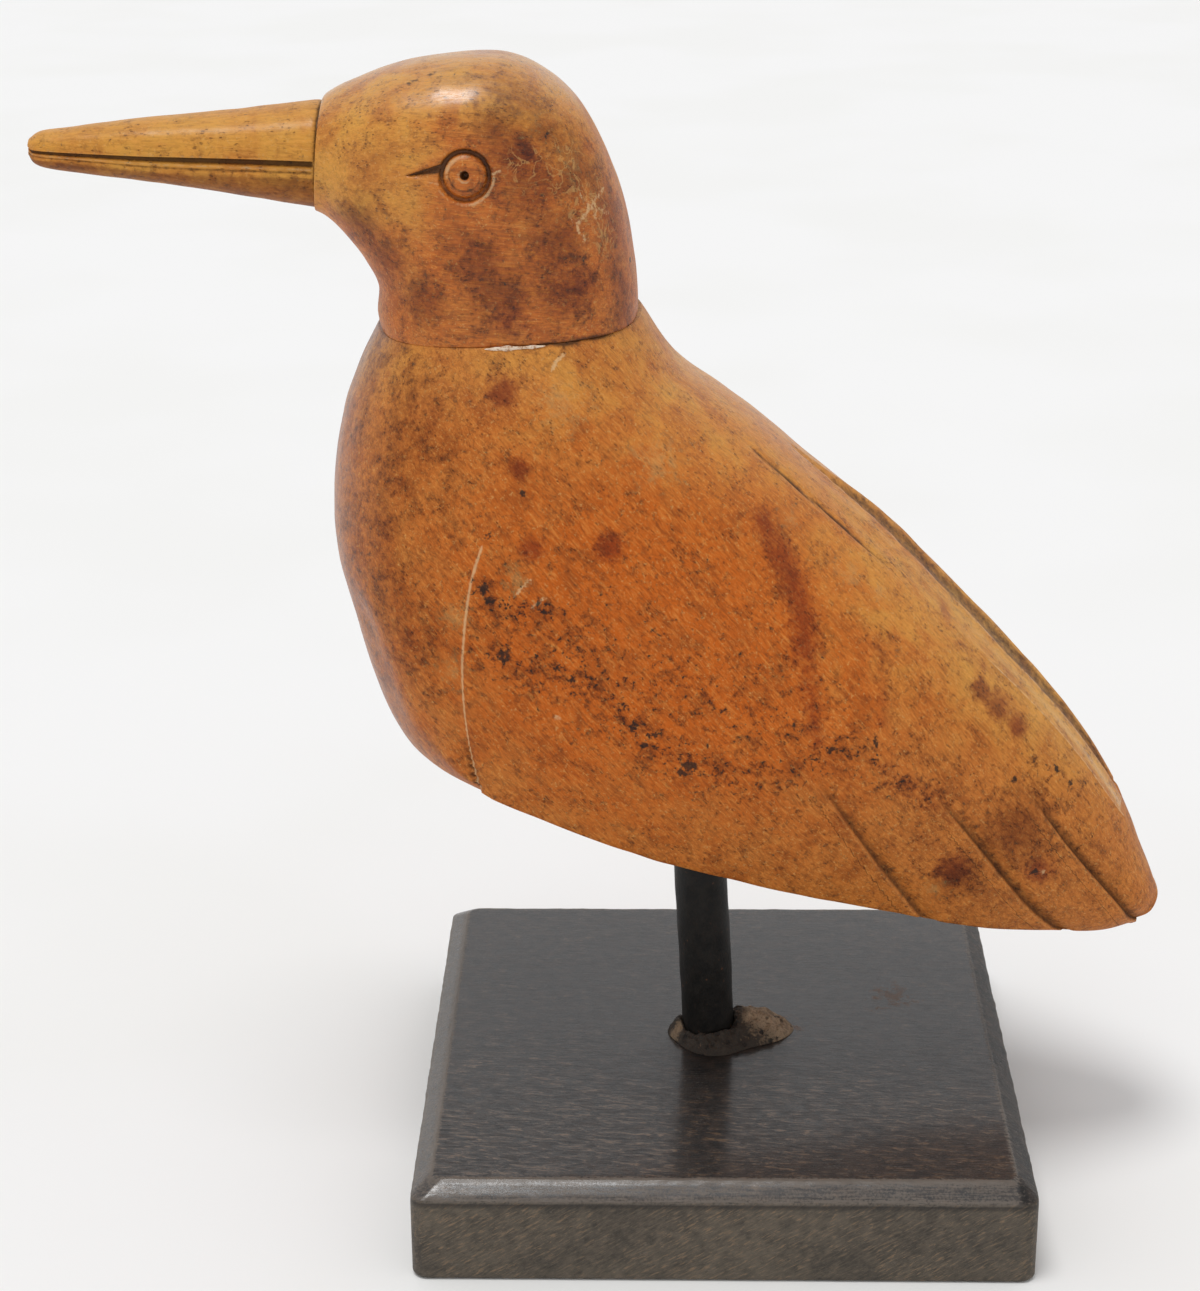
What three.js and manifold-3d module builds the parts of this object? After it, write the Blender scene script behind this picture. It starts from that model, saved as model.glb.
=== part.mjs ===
// A carved wooden bird on its stand: body and head of one light wood, an iron rod, a dark square base.
// Millimetres. +Z up, -X the beak, +X the tail, -Y the bird's left flank. The origin is the centre of
// the base's underside. The bird is the same on both sides of the plane Y = 0.

import * as THREE from "three";
import Module from "manifold-3d";

const wasm = await Module();
wasm.setup();

// Base block
const BASE_SIDE = 100;
const BASE_HEIGHT = 17;
const BASE_CORNER_RADIUS = 2.5;
const BASE_FOOT_ROUNDING = 0.8;
const CHAMFER_INSET = 3.25;
const CHAMFER_DROP = 2.5;

// Support rod
const ROD_DIAMETER = 9;
const ROD_FOOT_X = -1.7;
const ROD_LEAN = THREE.MathUtils.degToRad(3);
const ROD_IN_BASE = 10;
const ROD_IN_BODY = 12;
const BELLY_HEIGHT_AT_ROD = 57;
const CLEARANCE = 0.3;

// Filler round the rod's foot
const FILLER_RING = 1.6;
const FILLER_RISE = 1.5;
const FILLER_LIFT = 0.2;
const FILLER_LUMPS = [
  { angle: 8, spread: 34, reach: 8.5, rise: 2.6 },
  { angle: -75, spread: 55, reach: 2.4, rise: 0.9 },
  { angle: 178, spread: 24, reach: 1.0, rise: 1.6 },
];

// Wing edge on the underside: its share of the section's depth and of the half width
const WING_EDGE_DEPTH = 0.92;
const WING_EDGE_WIDTH = 0.93;

// Section planes of the body, from the neck joint to the tail. Each plane stands square to Y = 0 and
// runs from its back point to its breast point, both x and z. half is the half width, widest the share
// of the way down where it is reached, top and belly the squareness above and below it, and wing is
// how fully the wing's lower edge is formed.
const BODY_SECTIONS = [
  { back: [-13.3, 146.8], breast: [-54.4, 145.0], half: 19.3, widest: 0.5, top: 2.4, belly: 2.4, wing: 0 },
  { back: [-7.2, 138.2], breast: [-60.4, 132.2], half: 24.5, widest: 0.5, top: 2.3, belly: 2.4, wing: 0 },
  { back: [2.2, 131.3], breast: [-62.4, 117.2], half: 27.5, widest: 0.52, top: 2.2, belly: 2.7, wing: 0 },
  { back: [10.8, 124.6], breast: [-60.7, 103.8], half: 29, widest: 0.54, top: 2.2, belly: 3.0, wing: 0 },
  { back: [19.7, 117.1], breast: [-54.2, 81.4], half: 30, widest: 0.56, top: 2.2, belly: 2.8, wing: 0 },
  { back: [31.0, 106.7], breast: [-43.8, 71.6], half: 30, widest: 0.58, top: 2.2, belly: 2.4, wing: 0.7 },
  { back: [43.3, 94.2], breast: [-15.1, 60.5], half: 28.5, widest: 0.6, top: 2.2, belly: 2.4, wing: 1 },
  { back: [55.4, 80.7], breast: [14.4, 51.9], half: 24, widest: 0.6, top: 2.2, belly: 2.4, wing: 1 },
  { back: [65.1, 67.2], breast: [38.8, 45.2], half: 18.5, widest: 0.6, top: 2.2, belly: 2.4, wing: 1 },
  { back: [71.5, 52.6], breast: [59.7, 42.1], half: 12.5, widest: 0.6, top: 2.2, belly: 2.4, wing: 0.9 },
  { back: [73.7, 46.9], breast: [68.2, 41.3], half: 7.2, widest: 0.54, top: 2.1, belly: 2.2, wing: 0.5 },
];
const BODY_ROWS = 34;
const BODY_RING = 40;
const TAIL_BULGE = 1.4;

// Section planes of the neck and head, from the neck joint round to the beak's base
const HEAD_SECTIONS = [
  { back: [-13.5, 146.8], breast: [-54.2, 145.0], half: 19, widest: 0.5, top: 2.6, belly: 2.6, wing: 0 },
  { back: [-14.4, 154.9], breast: [-54.7, 147.7], half: 19, widest: 0.5, top: 2.6, belly: 2.6, wing: 0 },
  { back: [-17.0, 167.4], breast: [-54.5, 151.9], half: 18.8, widest: 0.5, top: 2.5, belly: 2.6, wing: 0 },
  { back: [-23.7, 180.3], breast: [-56.3, 155.6], half: 18, widest: 0.48, top: 2.5, belly: 2.6, wing: 0 },
  { back: [-33.9, 186.5], breast: [-58.4, 158.5], half: 16.5, widest: 0.47, top: 2.4, belly: 2.5, wing: 0 },
  { back: [-48.2, 185.7], breast: [-60.6, 161.1], half: 14, widest: 0.48, top: 2.3, belly: 2.4, wing: 0 },
  { back: [-57.9, 182.3], breast: [-62.2, 162.2], half: 10.5, widest: 0.5, top: 2.3, belly: 2.3, wing: 0 },
  { back: [-62.0, 180.1], breast: [-63.5, 162.8], half: 9.2, widest: 0.5, top: 2.3, belly: 2.3, wing: 0 },
];
const HEAD_ROWS = 20;

// Section planes of the beak, from its base to its blunt tip
const BEAK_SECTIONS = [
  { back: [-62.2, 179.6], breast: [-63.0, 163.3], half: 8.8, widest: 0.5, top: 2.3, belly: 2.3, wing: 0 },
  { back: [-75.9, 178.2], breast: [-76.1, 165.4], half: 7.4, widest: 0.5, top: 2.3, belly: 2.3, wing: 0 },
  { back: [-91.6, 176.8], breast: [-91.2, 167.6], half: 5.6, widest: 0.5, top: 2.3, belly: 2.3, wing: 0 },
  { back: [-102.3, 175.4], breast: [-102.9, 169.2], half: 4, widest: 0.5, top: 2.3, belly: 2.3, wing: 0 },
  { back: [-106.0, 174.9], breast: [-106.6, 170.0], half: 3, widest: 0.5, top: 2.3, belly: 2.3, wing: 0 },
  { back: [-107.5, 174.0], breast: [-107.7, 171.3], half: 1.6, widest: 0.5, top: 2.3, belly: 2.3, wing: 0 },
];
const BEAK_ROWS = 9;
const HEAD_RING = 32;
const BEAK_BULGE = 0.3;

// Grooves cut in the body, drawn on the side view as x and z, each on both flanks. width is the half
// width and depth the depth at full size, start and end are the shares of them at the two ends, and
// runOut is how far the cut goes on past its last point, over the wing's edge.
const BODY_GROOVES = {
  wingFront: {
    points: [[-36.6, 119.1], [-39.3, 110.4], [-40.8, 97.3], [-40.4, 85], [-39, 76.7]],
    width: 1.3,
    depth: 0.6,
    start: 0.15,
    end: 1,
    runOut: 4,
  },
  wingBack: {
    points: [[2.2, 129], [19.7, 113.7], [40.2, 94.3], [55.5, 77.3], [67.6, 60.3]],
    width: 0.9,
    depth: 0.45,
    start: 0.4,
    end: 0.3,
    runOut: 0,
  },
  upperFeather: {
    points: [[47.5, 74.6], [55.4, 62.9], [65.2, 49.8], [68, 45.5]],
    width: 1.5,
    depth: 0.8,
    start: 0.15,
    end: 1,
    runOut: 4,
  },
  middleFeather: {
    points: [[32.2, 75.6], [39.1, 66.7], [49.4, 51.9], [52.7, 47.7]],
    width: 1.5,
    depth: 0.8,
    start: 0.15,
    end: 1,
    runOut: 4,
  },
  lowerFeather: {
    points: [[12.6, 81.1], [17.4, 74], [22.7, 65.5], [30.9, 52.3]],
    width: 1.4,
    depth: 0.7,
    start: 0.15,
    end: 1,
    runOut: 4,
  },
};
const GROOVE_STEPS = 7;

// Channel down the middle of the back, between the crests of the two wings: share of the back line
// from neck to tail, half width and depth
const BACK_CHANNEL = [
  { along: 0.3, half: 0.5, depth: 0.2 },
  { along: 0.38, half: 2, depth: 0.8 },
  { along: 0.48, half: 4.4, depth: 1.5 },
  { along: 0.6, half: 5.2, depth: 1.7 },
  { along: 0.72, half: 5, depth: 1.6 },
  { along: 0.82, half: 4, depth: 1.2 },
];

// Mouth line of the beak, on both sides
const MOUTH = {
  points: [[-62.4, 171.9], [-75.7, 172.1], [-90.3, 172.2], [-107.2, 172.6]],
  width: 0.7,
  depth: 0.7,
};

// Eye, on both sides
const EYE_PLACE = [-39.3, 171.7];
const EYE_RING_RADIUS = 3.6;
const EYE_RING_GROOVE = 0.5;
const PUPIL_RADIUS = 0.6;
const PUPIL_DEPTH = 1.2;
const EYE_CORNER = {
  points: [[-48.4, 171.5], [-45.6, 171.8], [-42.9, 172.2]],
  width: 1.7,
  depth: 0.7,
  start: 0.1,
};

// Three.js geometry from rings of points of equal count: capped with a fan at each end, or closed on
// itself when wrap is true. The faces are turned outwards by the sign of the volume.
function skin(rings, wrap = false) {
  const count = rings[0].length;
  const points = rings.flat();
  const index = [];
  const rows = wrap ? rings.length : rings.length - 1;
  for (let i = 0; i < rows; i++) {
    const next = (i + 1) % rings.length;
    for (let j = 0; j < count; j++) {
      const a = i * count + j;
      const b = i * count + ((j + 1) % count);
      const c = next * count + ((j + 1) % count);
      const d = next * count + j;
      index.push(a, b, c, a, c, d);
    }
  }
  if (!wrap) {
    [0, rings.length - 1].forEach((row) => {
      const centre = new THREE.Vector3();
      rings[row].forEach((p) => centre.add(p));
      const hub = points.push(centre.divideScalar(count)) - 1;
      for (let j = 0; j < count; j++) {
        const a = row * count + j;
        const b = row * count + ((j + 1) % count);
        index.push(...(row === 0 ? [hub, b, a] : [hub, a, b]));
      }
    });
  }
  let volume = 0;
  const cross = new THREE.Vector3();
  for (let i = 0; i < index.length; i += 3) {
    cross.crossVectors(points[index[i + 1]], points[index[i + 2]]);
    volume += points[index[i]].dot(cross);
  }
  if (volume < 0) {
    for (let i = 0; i < index.length; i += 3) {
      [index[i + 1], index[i + 2]] = [index[i + 2], index[i + 1]];
    }
  }
  return new THREE.BufferGeometry().setFromPoints(points).setIndex(index);
}

// The same geometry seen in the mirror plane Y = 0
function mirrored(rings) {
  return rings.map((ring) => ring.map((p) => new THREE.Vector3(p.x, -p.y, p.z)));
}

// A solid for joining and cutting, from an indexed geometry with shared vertices
function solid(geometry) {
  return new wasm.Manifold(
    new wasm.Mesh({
      numProp: 3,
      vertProperties: new Float32Array(geometry.getAttribute("position").array),
      triVerts: new Uint32Array(geometry.index.array),
    }),
  );
}

// The geometry of a finished solid
function geometryOf(made) {
  const mesh = made.getMesh();
  return new THREE.BufferGeometry()
    .setAttribute("position", new THREE.BufferAttribute(new Float32Array(mesh.vertProperties), 3))
    .setIndex(new THREE.BufferAttribute(new Uint32Array(mesh.triVerts), 1));
}

// A carved form whose section changes smoothly along a row of section planes
class CarvedForm {
  constructor(sections) {
    const curve = (pair) => new THREE.SplineCurve(sections.map((s) => new THREE.Vector2(...pair(s))));
    this.back = curve((s) => s.back);
    this.breast = curve((s) => s.breast);
    this.girth = curve((s) => [s.half, s.widest]);
    this.power = curve((s) => [s.top, s.belly]);
    this.wing = curve((s) => [s.wing, 0]);
  }

  // Half outline of the section at share t: depth from back to breast and half width, as shares, at
  // angle a from the back, 0, to the breast, PI. Superellipse quarters meet at the widest place, and
  // under a wing the outline goes straight down to the wing's edge and then in under the belly.
  outline(t, a) {
    const widest = this.girth.getPoint(t).y;
    const power = this.power.getPoint(t);
    const upper = a <= Math.PI / 2;
    const p = 2 / (upper ? power.x : power.y);
    const width = Math.abs(Math.sin(a)) ** p;
    const rise = Math.abs(Math.cos(a)) ** p;
    if (upper) return { depth: widest * (1 - rise), width };
    const round = { depth: widest + (1 - widest) * rise, width };
    const below = (2 * a) / Math.PI - 1;
    const down = Math.min(2 * below, 1);
    const under = Math.max(2 * below - 1, 0);
    const edge =
      below < 0.5
        ? {
            depth: widest + (WING_EDGE_DEPTH - widest) * down,
            width: 1 - (1 - WING_EDGE_WIDTH) * down * down,
          }
        : {
            depth: WING_EDGE_DEPTH + (1 - WING_EDGE_DEPTH) * (1 - (1 - under) * (1 - under)),
            width: WING_EDGE_WIDTH * (1 - under),
          };
    const wing = THREE.MathUtils.clamp(this.wing.getPoint(t).x, 0, 1);
    return {
      depth: THREE.MathUtils.lerp(round.depth, edge.depth, wing),
      width: THREE.MathUtils.lerp(round.width, edge.width, wing),
    };
  }

  // Point of the left flank at share t along the form and angle a round it; angles past PI come back
  // up on the right flank
  point(t, a) {
    const side = a > Math.PI ? 1 : -1;
    const { depth, width } = this.outline(t, a > Math.PI ? 2 * Math.PI - a : a);
    const at = this.back.getPoint(t).lerp(this.breast.getPoint(t), depth);
    return new THREE.Vector3(at.x, side * width * this.girth.getPoint(t).x, at.y);
  }

  normal(t, a) {
    const step = 1e-3;
    const low = Math.max(t - step, 0);
    const high = Math.min(t + step, 1);
    const along = this.point(high, a).sub(this.point(low, a));
    const round = this.point(t, a + step).sub(this.point(t, a - step));
    const out = along.cross(round).normalize();
    const middle = this.back.getPoint(t).add(this.breast.getPoint(t)).divideScalar(2);
    const from = this.point(t, a).sub(new THREE.Vector3(middle.x, 0, middle.y));
    return out.dot(from) < 0 ? out.negate() : out;
  }

  // Share and angle of the flank's point that the side view shows at x, z: bisection for the section
  // plane that passes through it, and then for its depth in that plane
  find(x, z) {
    const aside = (t) => {
      const back = this.back.getPoint(t);
      const breast = this.breast.getPoint(t);
      return (breast.x - back.x) * (z - back.y) - (breast.y - back.y) * (x - back.x);
    };
    const t = bisect(aside, 0, 1);
    const back = this.back.getPoint(t);
    const reach = back.distanceTo(this.breast.getPoint(t));
    const depth = Math.min(back.distanceTo(new THREE.Vector2(x, z)) / reach, 0.999);
    const a = bisect((angle) => this.outline(t, angle).depth - depth, 0, Math.PI);
    return { t, a };
  }

  ring(t, count) {
    return Array.from({ length: count }, (_, j) => this.point(t, (2 * Math.PI * j) / count));
  }

  rings(rows, count) {
    return Array.from({ length: rows + 1 }, (_, i) => this.ring(i / rows, count));
  }

  // Rings that close the far end with a low elliptical dome of the given height
  dome(count, height) {
    const last = this.ring(1, count);
    const centre = middleOf(last);
    const outward = centre.clone().sub(middleOf(this.ring(0.98, count))).normalize();
    return [30, 60, 80].map((degrees) => {
      const lift = height * Math.sin(THREE.MathUtils.degToRad(degrees));
      const shrink = Math.cos(THREE.MathUtils.degToRad(degrees));
      const raise = (p) => p.clone().sub(centre).multiplyScalar(shrink).add(centre);
      return last.map((p) => raise(p).addScaledVector(outward, lift));
    });
  }
}

function middleOf(ring) {
  const sum = new THREE.Vector3();
  ring.forEach((p) => sum.add(p));
  return sum.divideScalar(ring.length);
}

function bisect(f, low, high) {
  const rising = f(high) > f(low);
  for (let i = 0; i < 40; i++) {
    const middle = (low + high) / 2;
    if (f(middle) > 0 === rising) high = middle;
    else low = middle;
  }
  return (low + high) / 2;
}

// Rings of a V-shaped cutter laid along places on a form: each place has its point, its outward
// normal, and the width and depth of the cut there
function cutterRings(places) {
  return places.map((place, i) => {
    const before = places[Math.max(i - 1, 0)].point;
    const after = places[Math.min(i + 1, places.length - 1)].point;
    const along = after.clone().sub(before).normalize();
    const side = along.clone().cross(place.normal).normalize();
    const lift = place.depth;
    const corner = (across, up) =>
      place.point.clone().addScaledVector(side, across).addScaledVector(place.normal, up);
    return [corner(-place.width, lift), corner(place.width, lift), corner(0, -place.depth)];
  });
}

// A groove drawn on the side view, cut in both flanks of a form
function grooveCutters(form, groove) {
  const line = new THREE.SplineCurve(groove.points.map((p) => new THREE.Vector2(...p)));
  const { start = 1, end = 1, runOut = 0 } = groove;
  const places = Array.from({ length: GROOVE_STEPS + 1 }, (_, i) => {
    const share = i / GROOVE_STEPS;
    const at = line.getPoint(share);
    const { t, a } = form.find(at.x, at.y);
    const full = THREE.MathUtils.lerp(start, end, share);
    return {
      point: form.point(t, a),
      normal: form.normal(t, a),
      width: groove.width * full,
      depth: groove.depth * full,
    };
  });
  if (runOut > 0) {
    const last = places[places.length - 1];
    const along = last.point.clone().sub(places[places.length - 2].point).normalize();
    places.push({ ...last, point: last.point.clone().addScaledVector(along, runOut) });
  }
  const rings = cutterRings(places);
  return [solid(skin(rings)), solid(skin(mirrored(rings)))];
}

// The trough between the wings' crests, with a rounded floor
function channelCutter(form) {
  const curve = (pair) => new THREE.SplineCurve(BACK_CHANNEL.map((c) => new THREE.Vector2(...pair(c))));
  const size = curve((c) => [c.half, c.depth]);
  const place = curve((c) => [c.along, 0]);
  const rings = Array.from({ length: 15 }, (_, i) => {
    const { x: half, y: depth } = size.getPoint(i / 14);
    const t = place.getPoint(i / 14).x;
    const point = form.point(t, 0);
    const normal = form.normal(t, 0.01).setY(0).normalize();
    const corner = (across, down) =>
      point.clone().addScaledVector(normal, -down).add(new THREE.Vector3(0, across, 0));
    return [
      corner(-half - 0.8, -1),
      corner(half + 0.8, -1),
      corner(half, 0.2),
      corner(half * 0.6, depth * 0.8),
      corner(0, depth),
      corner(-half * 0.6, depth * 0.8),
      corner(-half, 0.2),
    ];
  });
  return solid(skin(rings));
}

// A round bar along the rod's leaning axis, from one height to another
function rodRings(radius, low, high, sides = 24) {
  const axis = new THREE.Vector3(-Math.tan(ROD_LEAN), 0, 1);
  return [low, high].map((z) =>
    Array.from({ length: sides }, (_, j) => {
      const angle = (2 * Math.PI * j) / sides;
      const foot = new THREE.Vector3(ROD_FOOT_X, 0, BASE_HEIGHT);
      const centre = foot.addScaledVector(axis, z - BASE_HEIGHT);
      return centre.add(new THREE.Vector3(radius * Math.cos(angle), radius * Math.sin(angle), 0));
    }),
  );
}

// The body, with its channel, grooves and the socket in its belly
function bodyGeometry() {
  const form = new CarvedForm(BODY_SECTIONS);
  const rings = [...form.rings(BODY_ROWS, BODY_RING), ...form.dome(BODY_RING, TAIL_BULGE)];
  let made = solid(skin(rings));
  made = made.subtract(channelCutter(form));
  Object.values(BODY_GROOVES).forEach((groove) => {
    grooveCutters(form, groove).forEach((cutter) => {
      made = made.subtract(cutter);
    });
  });
  const socketTop = BELLY_HEIGHT_AT_ROD + ROD_IN_BODY + CLEARANCE;
  const socket = solid(skin(rodRings(ROD_DIAMETER / 2 + CLEARANCE, BASE_HEIGHT + 5, socketTop)));
  return geometryOf(made.subtract(socket));
}

// The neck, head and beak, with the mouth line and the eyes
function headGeometry() {
  const head = new CarvedForm(HEAD_SECTIONS);
  const beak = new CarvedForm(BEAK_SECTIONS);
  const rings = [
    ...head.rings(HEAD_ROWS, HEAD_RING),
    ...beak.rings(BEAK_ROWS, HEAD_RING),
    ...beak.dome(HEAD_RING, BEAK_BULGE),
  ];
  rings[0] = rings[0].map((p) => p.clone().add(new THREE.Vector3(0, 0, CLEARANCE)));
  let made = solid(skin(rings));
  const cutters = [
    ...grooveCutters(beak, MOUTH),
    ...grooveCutters(head, EYE_CORNER),
    ...eyeCutters(head),
  ];
  cutters.forEach((cutter) => {
    made = made.subtract(cutter);
  });
  return geometryOf(made);
}

// The ring groove and the drilled pupil of each eye
function eyeCutters(head) {
  const { t, a } = head.find(...EYE_PLACE);
  const centre = head.point(t, a);
  const normal = head.normal(t, a);
  const turn = new THREE.Quaternion().setFromUnitVectors(new THREE.Vector3(0, 0, 1), normal);
  const placed = (x, y, z) => new THREE.Vector3(x, y, z).applyQuaternion(turn).add(centre);
  const circle = (count, make) =>
    Array.from({ length: count }, (_, i) => make((2 * Math.PI * i) / count));
  const ring = circle(24, (angle) =>
    circle(6, (round) => {
      const reach = EYE_RING_RADIUS + EYE_RING_GROOVE * Math.cos(round);
      const x = reach * Math.cos(angle);
      const y = reach * Math.sin(angle);
      return placed(x, y, EYE_RING_GROOVE * Math.sin(round));
    }),
  );
  const pupil = [1, -PUPIL_DEPTH].map((z) =>
    circle(10, (angle) => placed(PUPIL_RADIUS * Math.cos(angle), PUPIL_RADIUS * Math.sin(angle), z)),
  );
  return [
    solid(skin(ring, true)),
    solid(skin(mirrored(ring), true)),
    solid(skin(pupil)),
    solid(skin(mirrored(pupil))),
  ];
}

// The square block: a rounded square outline at each height, set in at the foot and up the chamfer
function baseGeometry() {
  const levels = [
    { z: 0, inset: BASE_FOOT_ROUNDING },
    { z: BASE_FOOT_ROUNDING, inset: 0 },
    { z: BASE_HEIGHT - CHAMFER_DROP, inset: 0 },
    { z: BASE_HEIGHT, inset: CHAMFER_INSET },
  ];
  const rings = levels.map(({ z, inset }) => {
    const radius = BASE_CORNER_RADIUS;
    const reach = BASE_SIDE / 2 - inset - radius;
    return [0, 1, 2, 3].flatMap((quarter) =>
      [0, 1, 2, 3, 4].map((step) => {
        const angle = ((quarter + step / 4) * Math.PI) / 2;
        const toward = ((quarter + 0.5) * Math.PI) / 2;
        const x = Math.sign(Math.cos(toward)) * reach + radius * Math.cos(angle);
        const y = Math.sign(Math.sin(toward)) * reach + radius * Math.sin(angle);
        return new THREE.Vector3(x, y, z);
      }),
    );
  });
  const floor = BASE_HEIGHT - ROD_IN_BASE - CLEARANCE;
  const socket = solid(skin(rodRings(ROD_DIAMETER / 2 + CLEARANCE, floor, BASE_HEIGHT + 5)));
  return geometryOf(solid(skin(rings)).subtract(socket));
}

function rodGeometry() {
  return skin(rodRings(ROD_DIAMETER / 2, BASE_HEIGHT - ROD_IN_BASE, BELLY_HEIGHT_AT_ROD + ROD_IN_BODY));
}

// The filler: a low ring round the rod that swells into lumps, as a closed profile at each angle
function fillerGeometry() {
  const foot = BASE_HEIGHT + FILLER_LIFT;
  const inner = ROD_DIAMETER / 2 + CLEARANCE + 0.3;
  const rings = Array.from({ length: 32 }, (_, i) => {
    const angle = (360 * i) / 32;
    let reach = FILLER_RING;
    let rise = FILLER_RISE;
    FILLER_LUMPS.forEach((lump) => {
      const away = (((angle - lump.angle + 540) % 360) - 180) / lump.spread;
      reach += lump.reach * Math.exp(-away * away);
      rise += lump.rise * Math.exp(-away * away);
    });
    const heading = THREE.MathUtils.degToRad(angle);
    const at = (out, up) =>
      new THREE.Vector3(
        ROD_FOOT_X + (inner + out) * Math.cos(heading),
        (inner + out) * Math.sin(heading),
        foot + up,
      );
    return [
      at(0, 0),
      at(0, rise * 0.9),
      at(reach * 0.25, rise),
      at(reach * 0.55, rise * 0.75),
      at(reach * 0.85, rise * 0.35),
      at(reach, 0),
    ];
  });
  return skin(rings, true);
}

function piece(name, geometry, color, roughness, metalness = 0) {
  geometry.computeVertexNormals();
  const mesh = new THREE.Mesh(
    geometry,
    new THREE.MeshStandardMaterial({ color, roughness, metalness, flatShading: true }),
  );
  mesh.name = name;
  return mesh;
}

const figurine = new THREE.Group();
figurine.add(
  piece("bird_body", bodyGeometry(), 0xb06a2c, 0.5),
  piece("bird_head", headGeometry(), 0xb5702e, 0.45),
  piece("support_rod", rodGeometry(), 0x231f1c, 0.55, 0.6),
  piece("base_block", baseGeometry(), 0x2c2522, 0.6),
  piece("rod_foot_filler", fillerGeometry(), 0x7d6a58, 0.9),
);

export default figurine;
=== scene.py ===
"""The looks of a carved wooden bird on an iron rod and a dark square base.

The frame is in metres: +Z up, -X the beak, +X the tail, -Y the left flank, and the origin at the centre of
the base's underside. Marks on the side view, distances from carved lines and all relief are in
millimetres. Body and head are lofts of smooth sections whose surface is then carved: each cut is a
depth that depends on the distance from a line drawn on the flank.
"""

import logging
import math
from dataclasses import dataclass, field
from enum import Enum
from typing import Callable, Sequence

import bpy
import numpy as np
from mathutils import Matrix, Vector


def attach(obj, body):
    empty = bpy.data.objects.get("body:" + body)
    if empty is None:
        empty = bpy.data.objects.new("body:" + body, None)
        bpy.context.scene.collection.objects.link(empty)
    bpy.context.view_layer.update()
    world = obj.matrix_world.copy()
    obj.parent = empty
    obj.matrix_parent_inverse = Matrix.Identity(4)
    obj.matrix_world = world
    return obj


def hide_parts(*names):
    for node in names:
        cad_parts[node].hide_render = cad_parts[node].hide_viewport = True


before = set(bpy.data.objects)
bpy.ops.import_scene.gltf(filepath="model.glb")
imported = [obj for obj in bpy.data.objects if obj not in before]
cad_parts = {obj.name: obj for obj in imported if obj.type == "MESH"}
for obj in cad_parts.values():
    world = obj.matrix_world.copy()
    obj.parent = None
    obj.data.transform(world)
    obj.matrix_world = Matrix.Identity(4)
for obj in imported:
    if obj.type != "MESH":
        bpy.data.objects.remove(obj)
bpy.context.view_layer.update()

log = logging.getLogger("bird")

Array = np.ndarray
Colour = tuple[float, float, float]
Marks = tuple[tuple[float, ...], ...]
MM = 0.001
FAR = 1000.0


# Numbers and curves

def ease(low: float, high: float, value: Array) -> Array:
    """Smooth rise from 0 at low to 1 at high: 3u^2 - 2u^3 of the share u between them."""
    u = np.clip((value - low) / (high - low), 0, 1)
    return u * u * (3 - 2 * u)


def hump(value: Array, width: float) -> Array:
    """Bell curve of height 1 round 0: e to the power of -(value / width)^2."""
    return np.exp(-((value / width) ** 2))


def spline(knots: Array, share: Array) -> Array:
    """Catmull-Rom curve through knots at equal steps of share.

    Args:
        knots: the points, one a row.
        share: shares of the curve from 0 to 1, in an array of any shape.

    Returns:
        The curve's points, with share's shape and the knots' columns.
    """
    last = len(knots) - 1
    place = np.clip(share, 0, 1) * last
    start = np.minimum(place.astype(int), last - 1)
    w = (place - start)[..., None]
    before, here = knots[np.maximum(start - 1, 0)], knots[start]
    there, after = knots[start + 1], knots[np.minimum(start + 2, last)]
    leave, arrive = (there - before) / 2, (after - here) / 2
    square = 3 * (there - here) - 2 * leave - arrive
    cube = 2 * (here - there) + leave + arrive
    return ((cube * w + square) * w + leave) * w + here


def waves(points: Array, seed: int, shortest: float, longest: float, count: int = 26) -> Array:
    """Soft unevenness: the sum of count sine waves that cross the space in random directions.

    Args:
        points: places in space, the last axis x, y, z.
        seed: seed of the random directions, lengths and phases.
        shortest: shortest wave length in millimetres.
        longest: longest wave length in millimetres.
        count: number of waves.

    Returns:
        A value of about -1 to 1 at each place.
    """
    draw = np.random.default_rng(seed)
    heading = unit(draw.normal(size=(count, 3)))
    turns = 2 * np.pi / (draw.uniform(shortest, longest, size=count) * MM)
    phase = draw.uniform(0, 2 * np.pi, size=count)
    total = sum(np.sin(points @ (heading[i] * turns[i]) + phase[i]) for i in range(count))
    return total / math.sqrt(count)


def spread(params: Array, speed: Array, count: int) -> Array:
    """Picks count parameters so that equal lengths of path lie between them.

    Args:
        params: rising parameters on a fine scale.
        speed: how much length each of them covers, times how finely that stretch is wanted.
        count: how many to pick.

    Returns:
        The parameters at equal steps of the summed speed.
    """
    travelled = np.concatenate([[0], np.cumsum((speed[1:] + speed[:-1]) / 2 * np.diff(params))])
    return np.interp(np.linspace(0, travelled[-1], count), travelled, params)


def unit(vectors: Array) -> Array:
    """Vectors brought to length 1 along the last axis."""
    return vectors / np.maximum(np.linalg.norm(vectors, axis=-1, keepdims=True), 1e-12)


def circle(count: int) -> tuple[Array, Array]:
    """Even angles round a circle, and its points of radius 1 at z 0."""
    angle = np.linspace(0, 2 * np.pi, count, endpoint=False)
    return angle, np.stack([np.cos(angle), np.sin(angle), np.zeros(count)], axis=-1)


def bisect(f: Callable[[Array], Array], low: Array, high: Array) -> Array:
    """Halves the range between low and high forty times towards the place where f changes sign.

    Args:
        f: a function of an array, which changes sign once in each range.
        low: the lower ends.
        high: the upper ends.

    Returns:
        The places, as one array.
    """
    rising = f(high) > f(low)
    for _ in range(40):
        middle = (low + high) / 2
        above = (f(middle) > 0) == rising
        low, high = np.where(above, low, middle), np.where(above, middle, high)
    return (low + high) / 2


# Carved forms

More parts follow.
